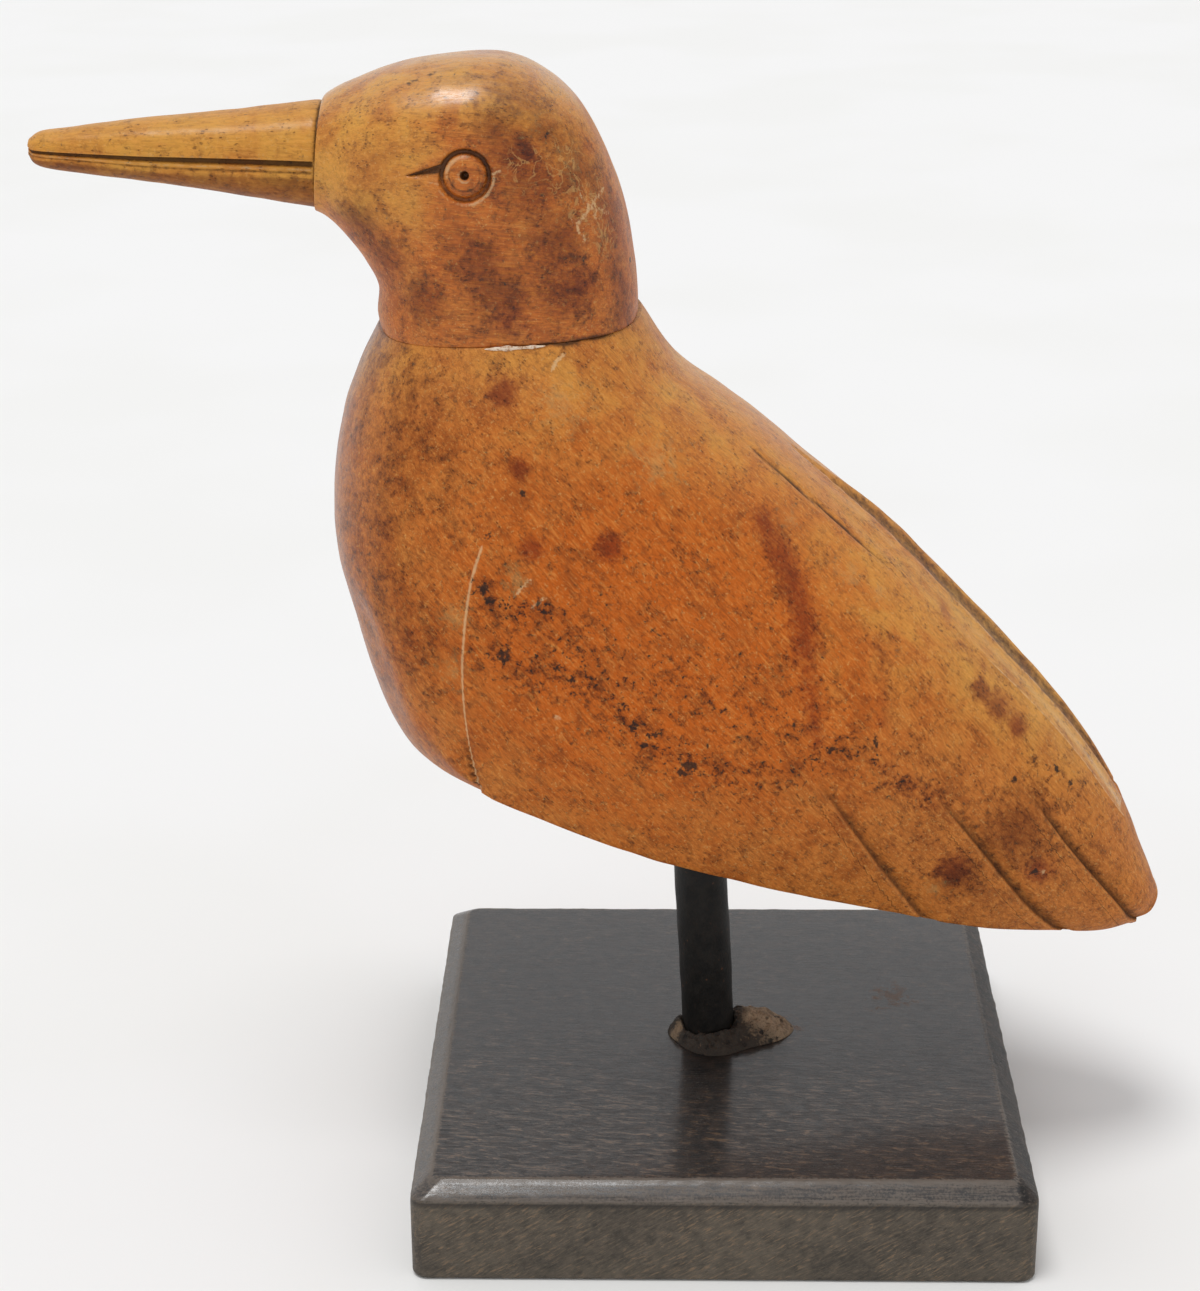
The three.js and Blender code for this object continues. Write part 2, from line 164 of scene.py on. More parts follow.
@dataclass(frozen=True)
class Section:
    """One section plane of a carved form. It stands square to Y = 0, from its back to its breast point.

    The points are x and z in millimetres. half is the half width and widest the share of the way down
    where it is reached. top and belly are the squareness above and below it, and wing is how fully the
    wing's lower edge is formed.
    """

    back: tuple[float, float]
    breast: tuple[float, float]
    half: float
    widest: float = 0.5
    top: float = 2.3
    belly: float = 2.3
    wing: float = 0.0


class CarvedForm:
    """A loft through sections that change smoothly from one to the next.

    edge_depth and edge_width place the wing's lower edge: its shares of a section's depth and half width.
    """

    edge_depth = 0.92
    edge_width = 0.93

    def __init__(self, sections: Sequence[Section]) -> None:
        """Keeps the sections as rows of numbers, the first five in metres."""
        rows = [[*s.back, *s.breast, s.half, s.widest, s.top, s.belly, s.wing] for s in sections]
        self.rows = np.array(rows) * ([MM] * 5 + [1] * 4)

    def outline(self, row: Array, angle: Array) -> tuple[Array, Array]:
        """Depth from the back and half width, as shares, at an angle from the back, 0, to the breast, pi.

        Superellipse quarters meet at the widest place: the width is sin to the power 2/n and the depth
        follows cos to the power 2/n. Under a wing the outline falls straight to the wing's edge and then
        closes under the belly along a parabola.

        Args:
            row: section values, the last axis in the order of Section.
            angle: angles that fit row's other axes.

        Returns:
            The shares of depth and width.
        """
        widest, top, belly, wing = (row[..., k] for k in range(5, 9))
        upper = angle <= np.pi / 2
        power = 2 / np.where(upper, top, belly)
        width = np.abs(np.sin(angle)) ** power
        rise = np.abs(np.cos(angle)) ** power
        depth = np.where(upper, widest * (1 - rise), widest + (1 - widest) * rise)
        below = np.clip(2 * angle / np.pi - 1, 0, 1)
        down, under = np.minimum(2 * below, 1), np.maximum(2 * below - 1, 0)
        falling = below < 0.5
        falls = widest + (self.edge_depth - widest) * down
        edge_depth = np.where(falling, falls, 1 - (1 - self.edge_depth) * (1 - under) ** 2)
        pulls_in = 1 - (1 - self.edge_width) * down**2
        edge_width = np.where(falling, pulls_in, self.edge_width * (1 - under))
        wing = np.where(upper, 0, np.clip(wing, 0, 1))
        return depth + wing * (edge_depth - depth), width + wing * (edge_width - width)

    def points(self, share: Array, angle: Array) -> Array:
        """Points of the form.

        Args:
            share: shares of the way along the form.
            angle: angles round it, from the back down the left flank and up the right one to 2 pi.

        Returns:
            An array of points with the shape of share and angle together, and x, y, z last.
        """
        share, angle = np.broadcast_arrays(share, angle)
        row = spline(self.rows, share)
        right = angle > np.pi
        depth, width = self.outline(row, np.where(right, 2 * np.pi - angle, angle))
        x = row[..., 0] + (row[..., 2] - row[..., 0]) * depth
        z = row[..., 1] + (row[..., 3] - row[..., 1]) * depth
        return np.stack([x, np.where(right, 1, -1) * width * row[..., 4], z], axis=-1)

    def place(self, x: Array, z: Array) -> Array:
        """The left flank's points that the side view shows at x, z."""
        return self.points(*self.find(x, z))

    def find(self, x: Array, z: Array) -> tuple[Array, Array]:
        """Share and angle of the left flank's points that the side view shows at x, z.

        Bisection finds the section plane that passes through each place, and then its depth there.

        Args:
            x: places along the side view.
            z: their heights.

        Returns:
            The share along the form and the angle in its section of each place.
        """
        x, z = np.atleast_1d(x), np.atleast_1d(z)

        def aside(share: Array) -> Array:
            """How far the places lie from the section planes of the given shares."""
            row = spline(self.rows, share)
            across = (row[..., 2] - row[..., 0]) * (z - row[..., 1])
            return across - (row[..., 3] - row[..., 1]) * (x - row[..., 0])

        share = bisect(aside, np.zeros_like(x), np.ones_like(x))
        row = spline(self.rows, share)
        whole = np.hypot(row[..., 2] - row[..., 0], row[..., 3] - row[..., 1])
        depth = np.minimum(np.hypot(x - row[..., 0], z - row[..., 1]) / whole, 0.999)
        angle = bisect(lambda a: self.outline(row, a)[0] - depth, np.zeros_like(x), np.full_like(x, np.pi))
        return share, angle

    def even_shares(self, count: int, finer: Callable[[Array], Array]) -> Array:
        """Shares along the form at even steps of its length, finer where the given weight is higher.

        Args:
            count: how many.
            finer: weight of a share, 1 where nothing is finer.

        Returns:
            The shares, from 0 to 1.
        """
        fine = np.linspace(0, 1, 1201)
        path = self.points(fine[:, None], np.array([0.25, 0.5, 0.75])[None] * np.pi)
        speed = np.linalg.norm(np.gradient(path, fine, axis=0), axis=-1).mean(axis=1)
        return spread(fine, speed * finer(fine), count)

    def even_angles(self, count: int, finer: Callable[[Array], Array]) -> Array:
        """Angles round the form at even steps of its girth, finer where the given weight is higher.

        Args:
            count: how many.
            finer: weight of an angle, 1 where nothing is finer.

        Returns:
            The angles, without the last, which would be the first again.
        """
        fine = np.linspace(0, 2 * np.pi, 2401)
        path = self.points(np.linspace(0.1, 0.9, 9)[:, None], fine[None])
        speed = np.linalg.norm(np.gradient(path, fine, axis=1), axis=-1).mean(axis=0)
        return spread(fine, speed * finer(fine), count + 1)[:-1]


def grid_normals(points: Array) -> Array:
    """Outward normals of a grid whose rows are closed rings: cross products of the steps both ways.

    Args:
        points: rows of closed rings.

    Returns:
        One normal of length 1 for each point.
    """
    along = np.gradient(points, axis=0)
    round_it = np.roll(points, -1, axis=1) - np.roll(points, 1, axis=1)
    normals = unit(np.cross(round_it, along))
    outward = points - points.mean(axis=1, keepdims=True)
    return normals * np.sign(np.sum(normals * outward, axis=-1).mean())


@dataclass
class Surface:
    """A carved surface in work.

    It holds the base grid in metres, the relief along the normals in millimetres, and the values that the
    wood's material reads.
    """

    points: Array
    normals: Array
    relief: Array
    fields: dict[str, Array] = field(default_factory=dict)

    @classmethod
    def on(cls, points: Array) -> "Surface":
        """A surface with no relief yet and all its wood values at rest.

        Args:
            points: rows of closed rings.

        Returns:
            The surface.
        """
        shape = points.shape[:2]
        plain = "cut worn soot spot ruddy shade pale crackle scratch light glow polish bold depth".split()
        fields = {name: np.zeros(shape) for name in plain}
        fields |= {"edge": np.full(shape, 2.0), "groove": np.full(shape, -1.0)}
        return cls(points, grid_normals(points), np.zeros(shape), fields)

    def add(self, name: str, values: Array | float) -> None:
        """Raises a stored value to the given ones where they are higher."""
        self.fields[name] = np.maximum(self.fields[name], values)

    def draw_edge(self, found: "Trace", full: Array) -> None:
        """Adds a pale line of wear and painted highlight: the signed distance from it, and how bold it is.

        Args:
            found: the line's trace.
            full: how strong the line is at each point.
        """
        closer = found.away < np.abs(self.fields["edge"])
        bold = full * ease(2.0, 1.2, found.away)
        self.fields["edge"] = np.where(closer, found.side, self.fields["edge"])
        self.fields["bold"] = np.where(closer, bold, self.fields["bold"])

    def swell(self, height: Array | float, seed: int, shortest: float, longest: float) -> None:
        """Adds the soft hollows and swellings that knife and sandpaper left, with waves' lengths."""
        self.relief += height * waves(self.points, seed, shortest, longest)

    def piece(self, name: str, tip: Array) -> bpy.types.Object:
        """The finished object: the points moved by the relief, closed by fans at the joint and the tip."""
        points = self.points + self.normals * (self.relief * MM)[..., None]
        return ring_mesh(name, points, self.fields, (points[0].mean(axis=0), tip))


@dataclass
class Trace:
    """How places lie from a line on the surface: distance, signed distance and share along the line."""

    away: Array
    side: Array
    share: Array


def trace(line: Array, points: Array, normals: Array, reach: float) -> Trace:
    """Measures how far each place is from a line drawn on the surface.

    Of all the line's legs the nearest counts. The sign is that of the gap's part along leg x normal.

    Args:
        line: the line's points.
        points: places on the surface.
        normals: the surface's normals there.
        reach: distance in millimetres from the line's box past which places are left at FAR.

    Returns:
        The trace of all places, in millimetres.
    """
    flat, out = points.reshape(-1, 3), normals.reshape(-1, 3)
    margin = reach * MM
    near = np.all((flat > line.min(axis=0) - margin) & (flat < line.max(axis=0) + margin), axis=1)
    flat, out = flat[near], out[near]
    best = np.stack([np.full(len(flat), value) for value in (FAR, FAR, 0.0)])
    lengths = np.linalg.norm(np.diff(line, axis=0), axis=1)
    begun = np.concatenate([[0], np.cumsum(lengths)])
    for i, length in enumerate(lengths):
        heading = (line[i + 1] - line[i]) / length
        gone = np.clip((flat - line[i]) @ heading, 0, length)
        gap = flat - line[i] - gone[:, None] * heading
        distance = np.linalg.norm(gap, axis=1) / MM
        sign = np.sign(np.sum(gap * np.cross(heading, out), axis=1))
        here = np.stack([distance, distance * sign, (begun[i] + gone) / begun[-1]])
        best = np.where(distance < best[0], here, best)
    whole = np.stack([np.full(len(near), value) for value in (FAR, FAR, 0.0)])
    whole[:, near] = best
    return Trace(*(part.reshape(points.shape[:-1]) for part in whole))


@dataclass(frozen=True)
class Stain:
    """Marks of one kind on a flank, in millimetres of the side view.

    Where width is given the marks are the x and z of a soft stripe that reaches that far to each side, and
    otherwise the x, z and radius of round spots.
    """

    kind: str
    marks: Marks
    strength: float = 1.0
    width: float = 0.0
    right: bool = False


class FlankCarver:
    """Draws lines and stains on a form's flanks and measures the surface's places from them.

    The right flank is measured as if mirrored on the left one. Its marks are a few tenths of a
    millimetre off, as a hand leaves them.
    """

    def __init__(self, form: CarvedForm, surface: Surface, seed: int) -> None:
        """Mirrors the right flank's places onto the left, with a soft seeded shift along the surface.

        Args:
            form: the form whose left flank the lines are drawn on.
            surface: what is carved.
            seed: seed of the right flank's shift.
        """
        self.form = form
        self.surface = surface
        points = surface.points
        right = points[..., 1:2] > 0
        mirror = np.where(right, np.array([1.0, -1.0, 1.0]), 1.0)
        self.normals = surface.normals * mirror
        drift = np.stack([waves(points, seed + k, 30, 70) for k in range(3)], axis=-1)
        drift -= np.sum(drift * self.normals, axis=-1, keepdims=True) * self.normals
        self.folded = points * mirror + np.where(right, drift * 0.5 * MM, 0)

    def line(self, marks: Marks, run_out: float = 0.0, steps: int = 70) -> Array:
        """A smooth line through marks of the side view, laid on the left flank.

        Args:
            marks: x and z of the line's points in millimetres.
            run_out: how far it goes straight on past its last point, in millimetres.
            steps: number of its points.

        Returns:
            The line's points in metres.
        """
        flat = spline(np.array(marks) * MM, np.linspace(0, 1, steps))
        laid = self.form.place(flat[:, 0], flat[:, 1])
        if run_out > 0:
            laid = np.vstack([laid, laid[-1] + unit(laid[-1] - laid[-3]) * run_out * MM])
        return laid

    def both(self, line: Array, reach: float) -> Trace:
        """Trace of a line that is carved on both flanks."""
        return trace(line, self.folded, self.normals, reach)

    def stain(self, stains: Sequence[Stain]) -> None:
        """Lays stains on one flank each: full on a stripe's line or in a spot's middle, none at the rim."""
        for stain in stains:
            side = np.array([1, -1, 1]) if stain.right else 1
            if stain.width > 0:
                line = self.line(stain.marks) * side
                away = trace(line, self.surface.points, self.surface.normals, 2 * stain.width).away
                self.surface.add(stain.kind, stain.strength * np.clip(1 - away / stain.width, 0, 1))
                continue
            for x, z, radius in np.array(stain.marks) * MM:
                middle = self.form.place(x, z)[0] * side
                away = np.linalg.norm(self.surface.points - middle, axis=-1)
                self.surface.add(stain.kind, stain.strength * np.clip(1 - away / radius, 0, 1))


# Meshes

def make_piece(
    name: str, vertices: Array, faces: Sequence[Array], fields: dict[str, Array],
) -> bpy.types.Object:
    """A closed smooth mesh with its faces turned outwards.

    Args:
        name: name of the piece.
        vertices: its points.
        faces: arrays of quads or triangles.
        fields: values for each vertex, stored as attributes.

    Returns:
        The new object, linked to the scene.
    """
    if signed_volume(vertices, faces) < 0:
        faces = [part[:, ::-1] for part in faces]
    mesh = bpy.data.meshes.new(name)
    mesh.from_pydata(vertices.tolist(), [], [face for part in faces for face in part.tolist()])
    for label, values in fields.items():
        attribute = mesh.attributes.new(label, "FLOAT", "POINT")
        attribute.data.foreach_set("value", values.ravel().astype(np.float32))
    mesh.shade_smooth()
    mesh.update()
    piece = bpy.data.objects.new(name, mesh)
    bpy.context.scene.collection.objects.link(piece)
    return piece


def signed_volume(vertices: Array, faces: Sequence[Array]) -> float:
    """Volume inside the faces, positive where they face outwards: a sum of a . (b x c) / 6.

    Args:
        vertices: points.
        faces: arrays of quads or triangles as indices.

    Returns:
        The volume.
    """
    total = 0.0
    for part in faces:
        for last in range(2, part.shape[1]):
            a, b, c = (vertices[part[:, k]] for k in (0, last - 1, last))
            total += float(np.sum(a * np.cross(b, c)))
    return total / 6


def ring_mesh(name: str, points: Array, fields: dict[str, Array], ends: Sequence[Array]) -> bpy.types.Object:
    """A closed piece from a grid of rings, with a fan of triangles over each end.

    Args:
        name: name of the piece.
        points: grid of points, each row a closed ring.
        fields: values for each grid point.
        ends: the middle points of the first and the last fan.

    Returns:
        The new object.
    """
    rows, count = points.shape[:2]
    index = np.arange(rows * count).reshape(rows, count)
    right = np.roll(index, -1, axis=1)
    quads = np.stack([index[:-1], right[:-1], right[1:], index[1:]], axis=-1).reshape(-1, 4)
    first, last = rows * count, rows * count + 1
    start = np.stack([np.full(count, first), right[0], index[0]], axis=-1)
    finish = np.stack([np.full(count, last), index[-1], right[-1]], axis=-1)
    padded = {
        label: np.concatenate([values.ravel(), [values[0].mean(), values[-1].mean()]])
        for label, values in fields.items()
    }
    return make_piece(name, np.vstack([points.reshape(-1, 3), *ends]), [quads, start, finish], padded)


def dome(last: Array, before: Array, height: float, steps: Sequence[float]) -> tuple[Array, Array]:
    """Rings that close a loft with a low elliptical dome.

    A ring at angle u is the last ring shrunk by cos u about its middle and lifted by height times sin u.

    Args:
        last: the loft's last ring.
        before: a ring a little before it, which gives the direction outwards.
        height: height of the dome.
        steps: the angles of its rings in degrees.

    Returns:
        The rings and the dome's top point.
    """
    middle = last.mean(axis=0)
    outward = unit(middle - before.mean(axis=0))
    angles = np.radians(np.asarray(steps))[:, None, None]
    rings = middle + (last - middle)[None] * np.cos(angles) + outward * height * np.sin(angles)
    return rings, middle + outward * height


# Shader nodes

class Value:
    """One varying number of a material, whose arithmetic adds Math nodes."""

    def __init__(self, sheet: "NodeSheet", socket: bpy.types.NodeSocket) -> None:
        """Wraps an output socket."""
        self.sheet = sheet
        self.socket = socket

    def __add__(self, other: "Value | float") -> "Value":
        """Sum."""
        return self.sheet.math("ADD", self, other)

    def __sub__(self, other: "Value | float") -> "Value":
        """Difference."""
        return self.sheet.math("SUBTRACT", self, other)

    def __rsub__(self, other: float) -> "Value":
        """Difference from a number, as in 1 - mask."""
        return self.sheet.math("SUBTRACT", other, self)

    def __mul__(self, other: "Value | float") -> "Value":
        """Product."""
        return self.sheet.math("MULTIPLY", self, other)

    __radd__ = __add__
    __rmul__ = __mul__

    def size(self) -> "Value":
        """The value without its sign."""
        return self.sheet.math("ABSOLUTE", self, 0.0)

    def most(self, other: "Value | float") -> "Value":
        """The larger of two values."""
        return self.sheet.math("MAXIMUM", self, other)

    def swing(self, times: float) -> "Value":
        """How far a noise is from its middle, times a number."""
        return (self - 0.5) * times

    def step(self, low: float, high: float, floor: float = 0.0, top: float = 1.0) -> "Value":
        """Smooth step from floor, at low and under it, to top, at high and over it.

        Args:
            low: where it starts, also above high for a falling step.
            high: where it ends.
            floor: result at low.
            top: result at high.

        Returns:
            The stepped value.
        """
        settings = {"interpolation_type": "SMOOTHSTEP"}
        values = {"Value": self, "From Min": low, "From Max": high, "To Min": floor, "To Max": top}
        return self.sheet.node("ShaderNodeMapRange", settings, values)

    def band(self, inner: float, outer: float) -> "Value":
        """Smooth step from 1, at inner and under it, to 0, at outer and over it."""
        return self.step(inner, outer, 1.0, 0.0)


class NodeSheet:
    """The nodes of one material."""

    def __init__(self, name: str) -> None:
        """Makes a material with the Principled shader, its output and the object coordinates.

        Args:
            name: the material's name.
        """
        self.material = bpy.data.materials.new(name)
        self.material.use_nodes = True
        self.tree = self.material.node_tree
        self.shader = next(n for n in self.tree.nodes if n.type == "BSDF_PRINCIPLED")
        self.place = self.node("ShaderNodeTexCoord", {}, {}, output="Object")

    def node(self, kind: str, settings: dict, values: dict, output: int | str = 0) -> Value:
        """Adds a node, sets its settings, and then sets or links its inputs.

        Args:
            kind: the node's type.
            settings: attributes of the node.
            values: numbers, tuples or Values for its inputs, by name or index.
            output: which output to return.

        Returns:
            The output as a Value.
        """
        made = self.tree.nodes.new(kind)
        for label, setting in settings.items():
            setattr(made, label, setting)
        for label, value in values.items():
            self.feed(made.inputs[label], value)
        return Value(self, made.outputs[output])

    def feed(self, socket: bpy.types.NodeSocket, value: "Value | float | Sequence[float]") -> None:
        """Links a Value to an input, or sets the input's own number."""
        if isinstance(value, Value):
            self.tree.links.new(value.socket, socket)
        elif isinstance(value, tuple) and socket.type == "RGBA":
            socket.default_value = (*value, 1.0)
        else:
            socket.default_value = value

    def math(self, operation: str, first: "Value | float", second: "Value | float") -> Value:
        """A Math node on two values."""
        return self.node("ShaderNodeMath", {"operation": operation}, {0: first, 1: second})

    def layers(self, colour: "Value | Colour", *coats: tuple) -> Value:
        """Lays coats over a colour.

        Args:
            colour: the lowest colour.
            coats: for each coat its mask, its colour and, where it tints what is under it, "MULTIPLY".

        Returns:
            The colour on top.
        """
        for mask, over, *blend in coats:
            settings = {"data_type": "RGBA", "blend_type": blend[0] if blend else "MIX"}
            colour = self.node("ShaderNodeMix", settings, {"Factor": mask, 6: colour, 7: over}, output=2)
        return colour

    def spaced(self, size: "float | tuple[float, ...]", turn: tuple[float, ...]) -> dict:
        """Vector and scale of a pattern.

        Args:
            size: size of its features in millimetres, or their three sizes along the turned axes.
            turn: turn of those axes in degrees.

        Returns:
            The two inputs of the pattern's node.
        """
        if not isinstance(size, tuple):
            return {"Vector": self.place, "Scale": 1 / (size * MM)}
        values = {
            "Vector": self.place,
            "Rotation": tuple(math.radians(angle) for angle in turn),
            "Scale": tuple(side * MM for side in size),
        }
        return {"Vector": self.node("ShaderNodeMapping", {"vector_type": "TEXTURE"}, values), "Scale": 1.0}

    def noise(
        self, size: "float | tuple[float, ...]", detail: float, rough: float, warp: float = 0.0,
        turn: tuple[float, ...] = (0, 0, 0),
    ) -> Value:
        """Noise of 0 to 1, mostly near the middle, with size and turn as in spaced."""
        values = {"Detail": detail, "Roughness": rough, "Distortion": warp}
        return self.node("ShaderNodeTexNoise", {}, self.spaced(size, turn) | values)

    def cells(self, size: "float | tuple[float, ...]", turn: tuple[float, ...] = (0, 0, 0)) -> Value:
        """Distance to the nearest scattered point, with size and turn as in spaced."""
        return self.node("ShaderNodeTexVoronoi", {}, self.spaced(size, turn) | {"Randomness": 1.0})

    def stored(self, name: str) -> Value:
        """A number stored on the mesh."""
        return self.node("ShaderNodeAttribute", {"attribute_name": name}, {}, output="Fac")

    def bump(self, height: Value, size: float) -> Value:
        """A normal bent by a height whose size is given in millimetres."""
        return self.node("ShaderNodeBump", {}, {"Height": height, "Distance": size * MM})

    def finish(self, **values: "Value | float | Colour") -> bpy.types.Material:
        """Feeds the shader's inputs, named with _ for each space, and returns the material."""
        for label, value in values.items():
            self.feed(self.shader.inputs[label.replace("_", " ")], value)
        return self.material


def srgb(red: int, green: int, blue: int) -> Colour:
    """A colour of 0 to 255 as seen on a screen, as light.

    Args:
        red: red.
        green: green.
        blue: blue.

    Returns:
        Its linear values.
    """
    parts = np.array([red, green, blue]) / 255
    light = np.where(parts <= 0.04045, parts / 12.92, ((parts + 0.055) / 1.055) ** 2.4)
    return tuple(float(v) for v in light)


# Finishes

class Slot(Enum):
    """Material slots of the record."""

    WOOD = "carved_wood"
    IRON = "black_iron"
    BASE = "dark_base_wood"
    FILLER = "filler"


@dataclass(frozen=True)
class CarvedWood:
    """Old waxed light wood: orange brown, with fibres, pores, stains, painted shade in the cuts and pale
    edges of wear and painted highlight.

    grain_turn is the turn about Y from +X to the direction of the fibres in degrees, and fibre is their
    length in millimetres. The tints multiply the colour under them, and the rest are colours of their own.
    """

    name: str
    grain_turn: float
    fibre: float
    honey: Colour = srgb(210, 152, 64)
    tan: Colour = srgb(190, 111, 44)
    amber: Colour = srgb(194, 94, 18)
    russet: Colour = srgb(130, 66, 22)
    umber: Colour = srgb(80, 45, 20)
    gold: Colour = srgb(226, 156, 76)
    shade_and_dark_marks: Colour = srgb(50, 29, 14)
    soot: Colour = srgb(32, 26, 22)
    straw: Colour = srgb(208, 158, 92)
    chalk: Colour = srgb(222, 186, 138)
    ruddy_tint: Colour = srgb(182, 142, 130)
    shade_tint: Colour = srgb(184, 166, 142)
    grime_tint: Colour = srgb(136, 116, 104)

    def build(self) -> bpy.types.Material:
        """Makes the material: ground colour with painted light, stains, pale lines of wear and painted
        highlight, and painted shade in the cuts, one over the other.

        Returns:
            The material.
        """
        sheet = NodeSheet(self.name)
        turn = (0.0, self.grain_turn, 0.0)
        broad = sheet.noise(24, 2.0, 0.5)
        cloud = sheet.noise(7, 5.0, 0.62, 0.4)
        blotch = sheet.noise(2.8, 5.0, 0.70, 0.5)
        mottle = sheet.noise(1.1, 4.0, 0.70, 0.3)
        speck = sheet.noise(0.5, 2.0, 0.6)
        streaks = sheet.noise((15, 1.6, 1.6), 3.0, 0.6, 0.5, turn)
        grain = sheet.noise((2 * self.fibre, 0.6, 0.6), 4.0, 0.68, 1.2, turn)
        fibres = sheet.noise((self.fibre, 0.3, 0.3), 3.0, 0.62, 1.0, turn)
        wrinkles = sheet.noise(3.2, 3.0, 0.55, 1.2)
        pore = sheet.cells((1.1, 0.42, 0.42), turn).band(0.16, 0.34) * blotch.step(0.50, 0.62)
        ragged = blotch.swing(1.5) + mottle.swing(1.5)
        speckled = mottle.swing(2.2) + speck.swing(1.6)

        light, soot, polish = sheet.stored("light"), sheet.stored("soot"), sheet.stored("polish")
        groove, depth = sheet.stored("groove"), sheet.stored("depth")
        # Painted light: where the light value is high, on faces that look up and on lighter regions, the tan,
        # the amber glow and the dark layers give way to honey.
        warm = (broad * 0.6 + cloud * 0.6 - light * 0.85).step(-0.3, 0.52)
        glow = (sheet.stored("glow") + cloud.swing(1.2)).step(0.1, 0.8)
        full = 1 - light * 0.42
        ruddy = (sheet.stored("ruddy") * 1.25 + ragged * 0.8).step(0.12, 1.0)
        shade = (sheet.stored("shade") * 1.2 + ragged * 0.8).step(0.12, 1.2)
        grime = (soot * 0.7 + ragged * 0.9).step(0.30, 1.0) * soot.step(0.0, 0.2)
        pale = (sheet.stored("pale") + ragged * 1.3).step(0.45, 1.1)
        cracked = (sheet.stored("crackle") + ragged * 0.9).step(0.25, 0.8)
        crackle = (wrinkles - 0.5).size().band(0.008, 0.040) * cracked
        scratch = (sheet.stored("scratch") + speck.swing(1.4)).step(0.30, 0.75)
        worn = (sheet.stored("worn") + mottle.swing(1.8)).step(0.25, 0.9)
        faint = (1 - sheet.stored("bold")) * 2
        edge = (sheet.stored("edge").size() + faint + mottle.swing(0.6)).band(0.08, 0.44)
        # Painted highlight along the top of each feather cut's steep wall.
        rim = (groove - 1.3).size().band(0.0, 0.5)
        floor = (groove + mottle.swing(0.9) + blotch.swing(0.9)).step(-1.0, 0.3)
        # Painted shade on the floor of each feather cut.
        furrow = floor * groove.band(0.35, 1.0) * depth
        cut = (sheet.stored("cut") + mottle.swing(0.9)).step(0.15, 0.95).most(furrow)
        sooty = (soot * 0.5 + speckled).step(0.60, 0.78) * soot.step(0.02, 0.2)
        spots = (sheet.stored("spot") * 1.1 + speckled * 0.8).step(0.35, 0.65)

        colour = sheet.layers(
            self.honey,
            (warm, self.tan),
            (glow * (1 - light * 0.6), self.amber),
            (streaks.step(0.48, 0.72) * full * 0.36, self.russet),
            (cloud.step(0.50, 0.70) * full * 0.55, self.russet),
            (blotch.step(0.50, 0.66) * full * 0.52, self.russet),
            (mottle.step(0.52, 0.68) * full * 0.48, self.umber),
            (grain.step(0.50, 0.66) * full * 0.34, self.umber),
            (grain.step(0.47, 0.33) * 0.30, self.gold),
            (fibres.step(0.53, 0.66) * full * 0.24, self.umber),
            (fibres.step(0.47, 0.34) * 0.24, self.gold),
            (speck.step(0.60, 0.70) * 0.45, self.straw),
            (pore * 0.5, self.umber),
            (ruddy * 0.85, self.ruddy_tint, "MULTIPLY"),
            # The shade value darkens the colour: painted shade where the breast faces forward and under the
            # beak, and darker stains on the head and body.
            (shade, self.shade_tint, "MULTIPLY"),
            (grime * 0.9, self.grime_tint, "MULTIPLY"),
            (pale * 0.34, self.straw),
            (crackle * 0.42, self.straw),
            (scratch * 0.55, self.chalk),
            # Pale wear and painted highlights; on the eye and the mouth it is all painted highlight.
            (worn * 0.5, self.chalk),
            # Pale lines along carved edges and ridges: wear and painted highlight.
            (edge * 0.62, self.chalk),
            (rim * depth * 0.16, self.straw),
            # Painted shade and dark marks in the cuts.
            (cut * 0.84, self.shade_and_dark_marks),
            (sooty.most(spots) * 0.86, self.soot),
        )
        height = fibres * -0.55 + speck * 0.2 + grain * 0.5 + mottle * 0.4 + pore * -1.2
        rough = 0.50 - polish * 0.14 + fibres * 0.14 + cut * 0.25 + scratch * 0.2
        return sheet.finish(
            Base_Color=colour, Roughness=rough, Normal=sheet.bump(height, 0.11),
            IOR=1.45, Specular_IOR_Level=0.22,
            Coat_Weight=polish * fibres.step(0.30, 0.60, 0.35, 1.0), Coat_Roughness=0.25, Coat_IOR=1.7,
        )


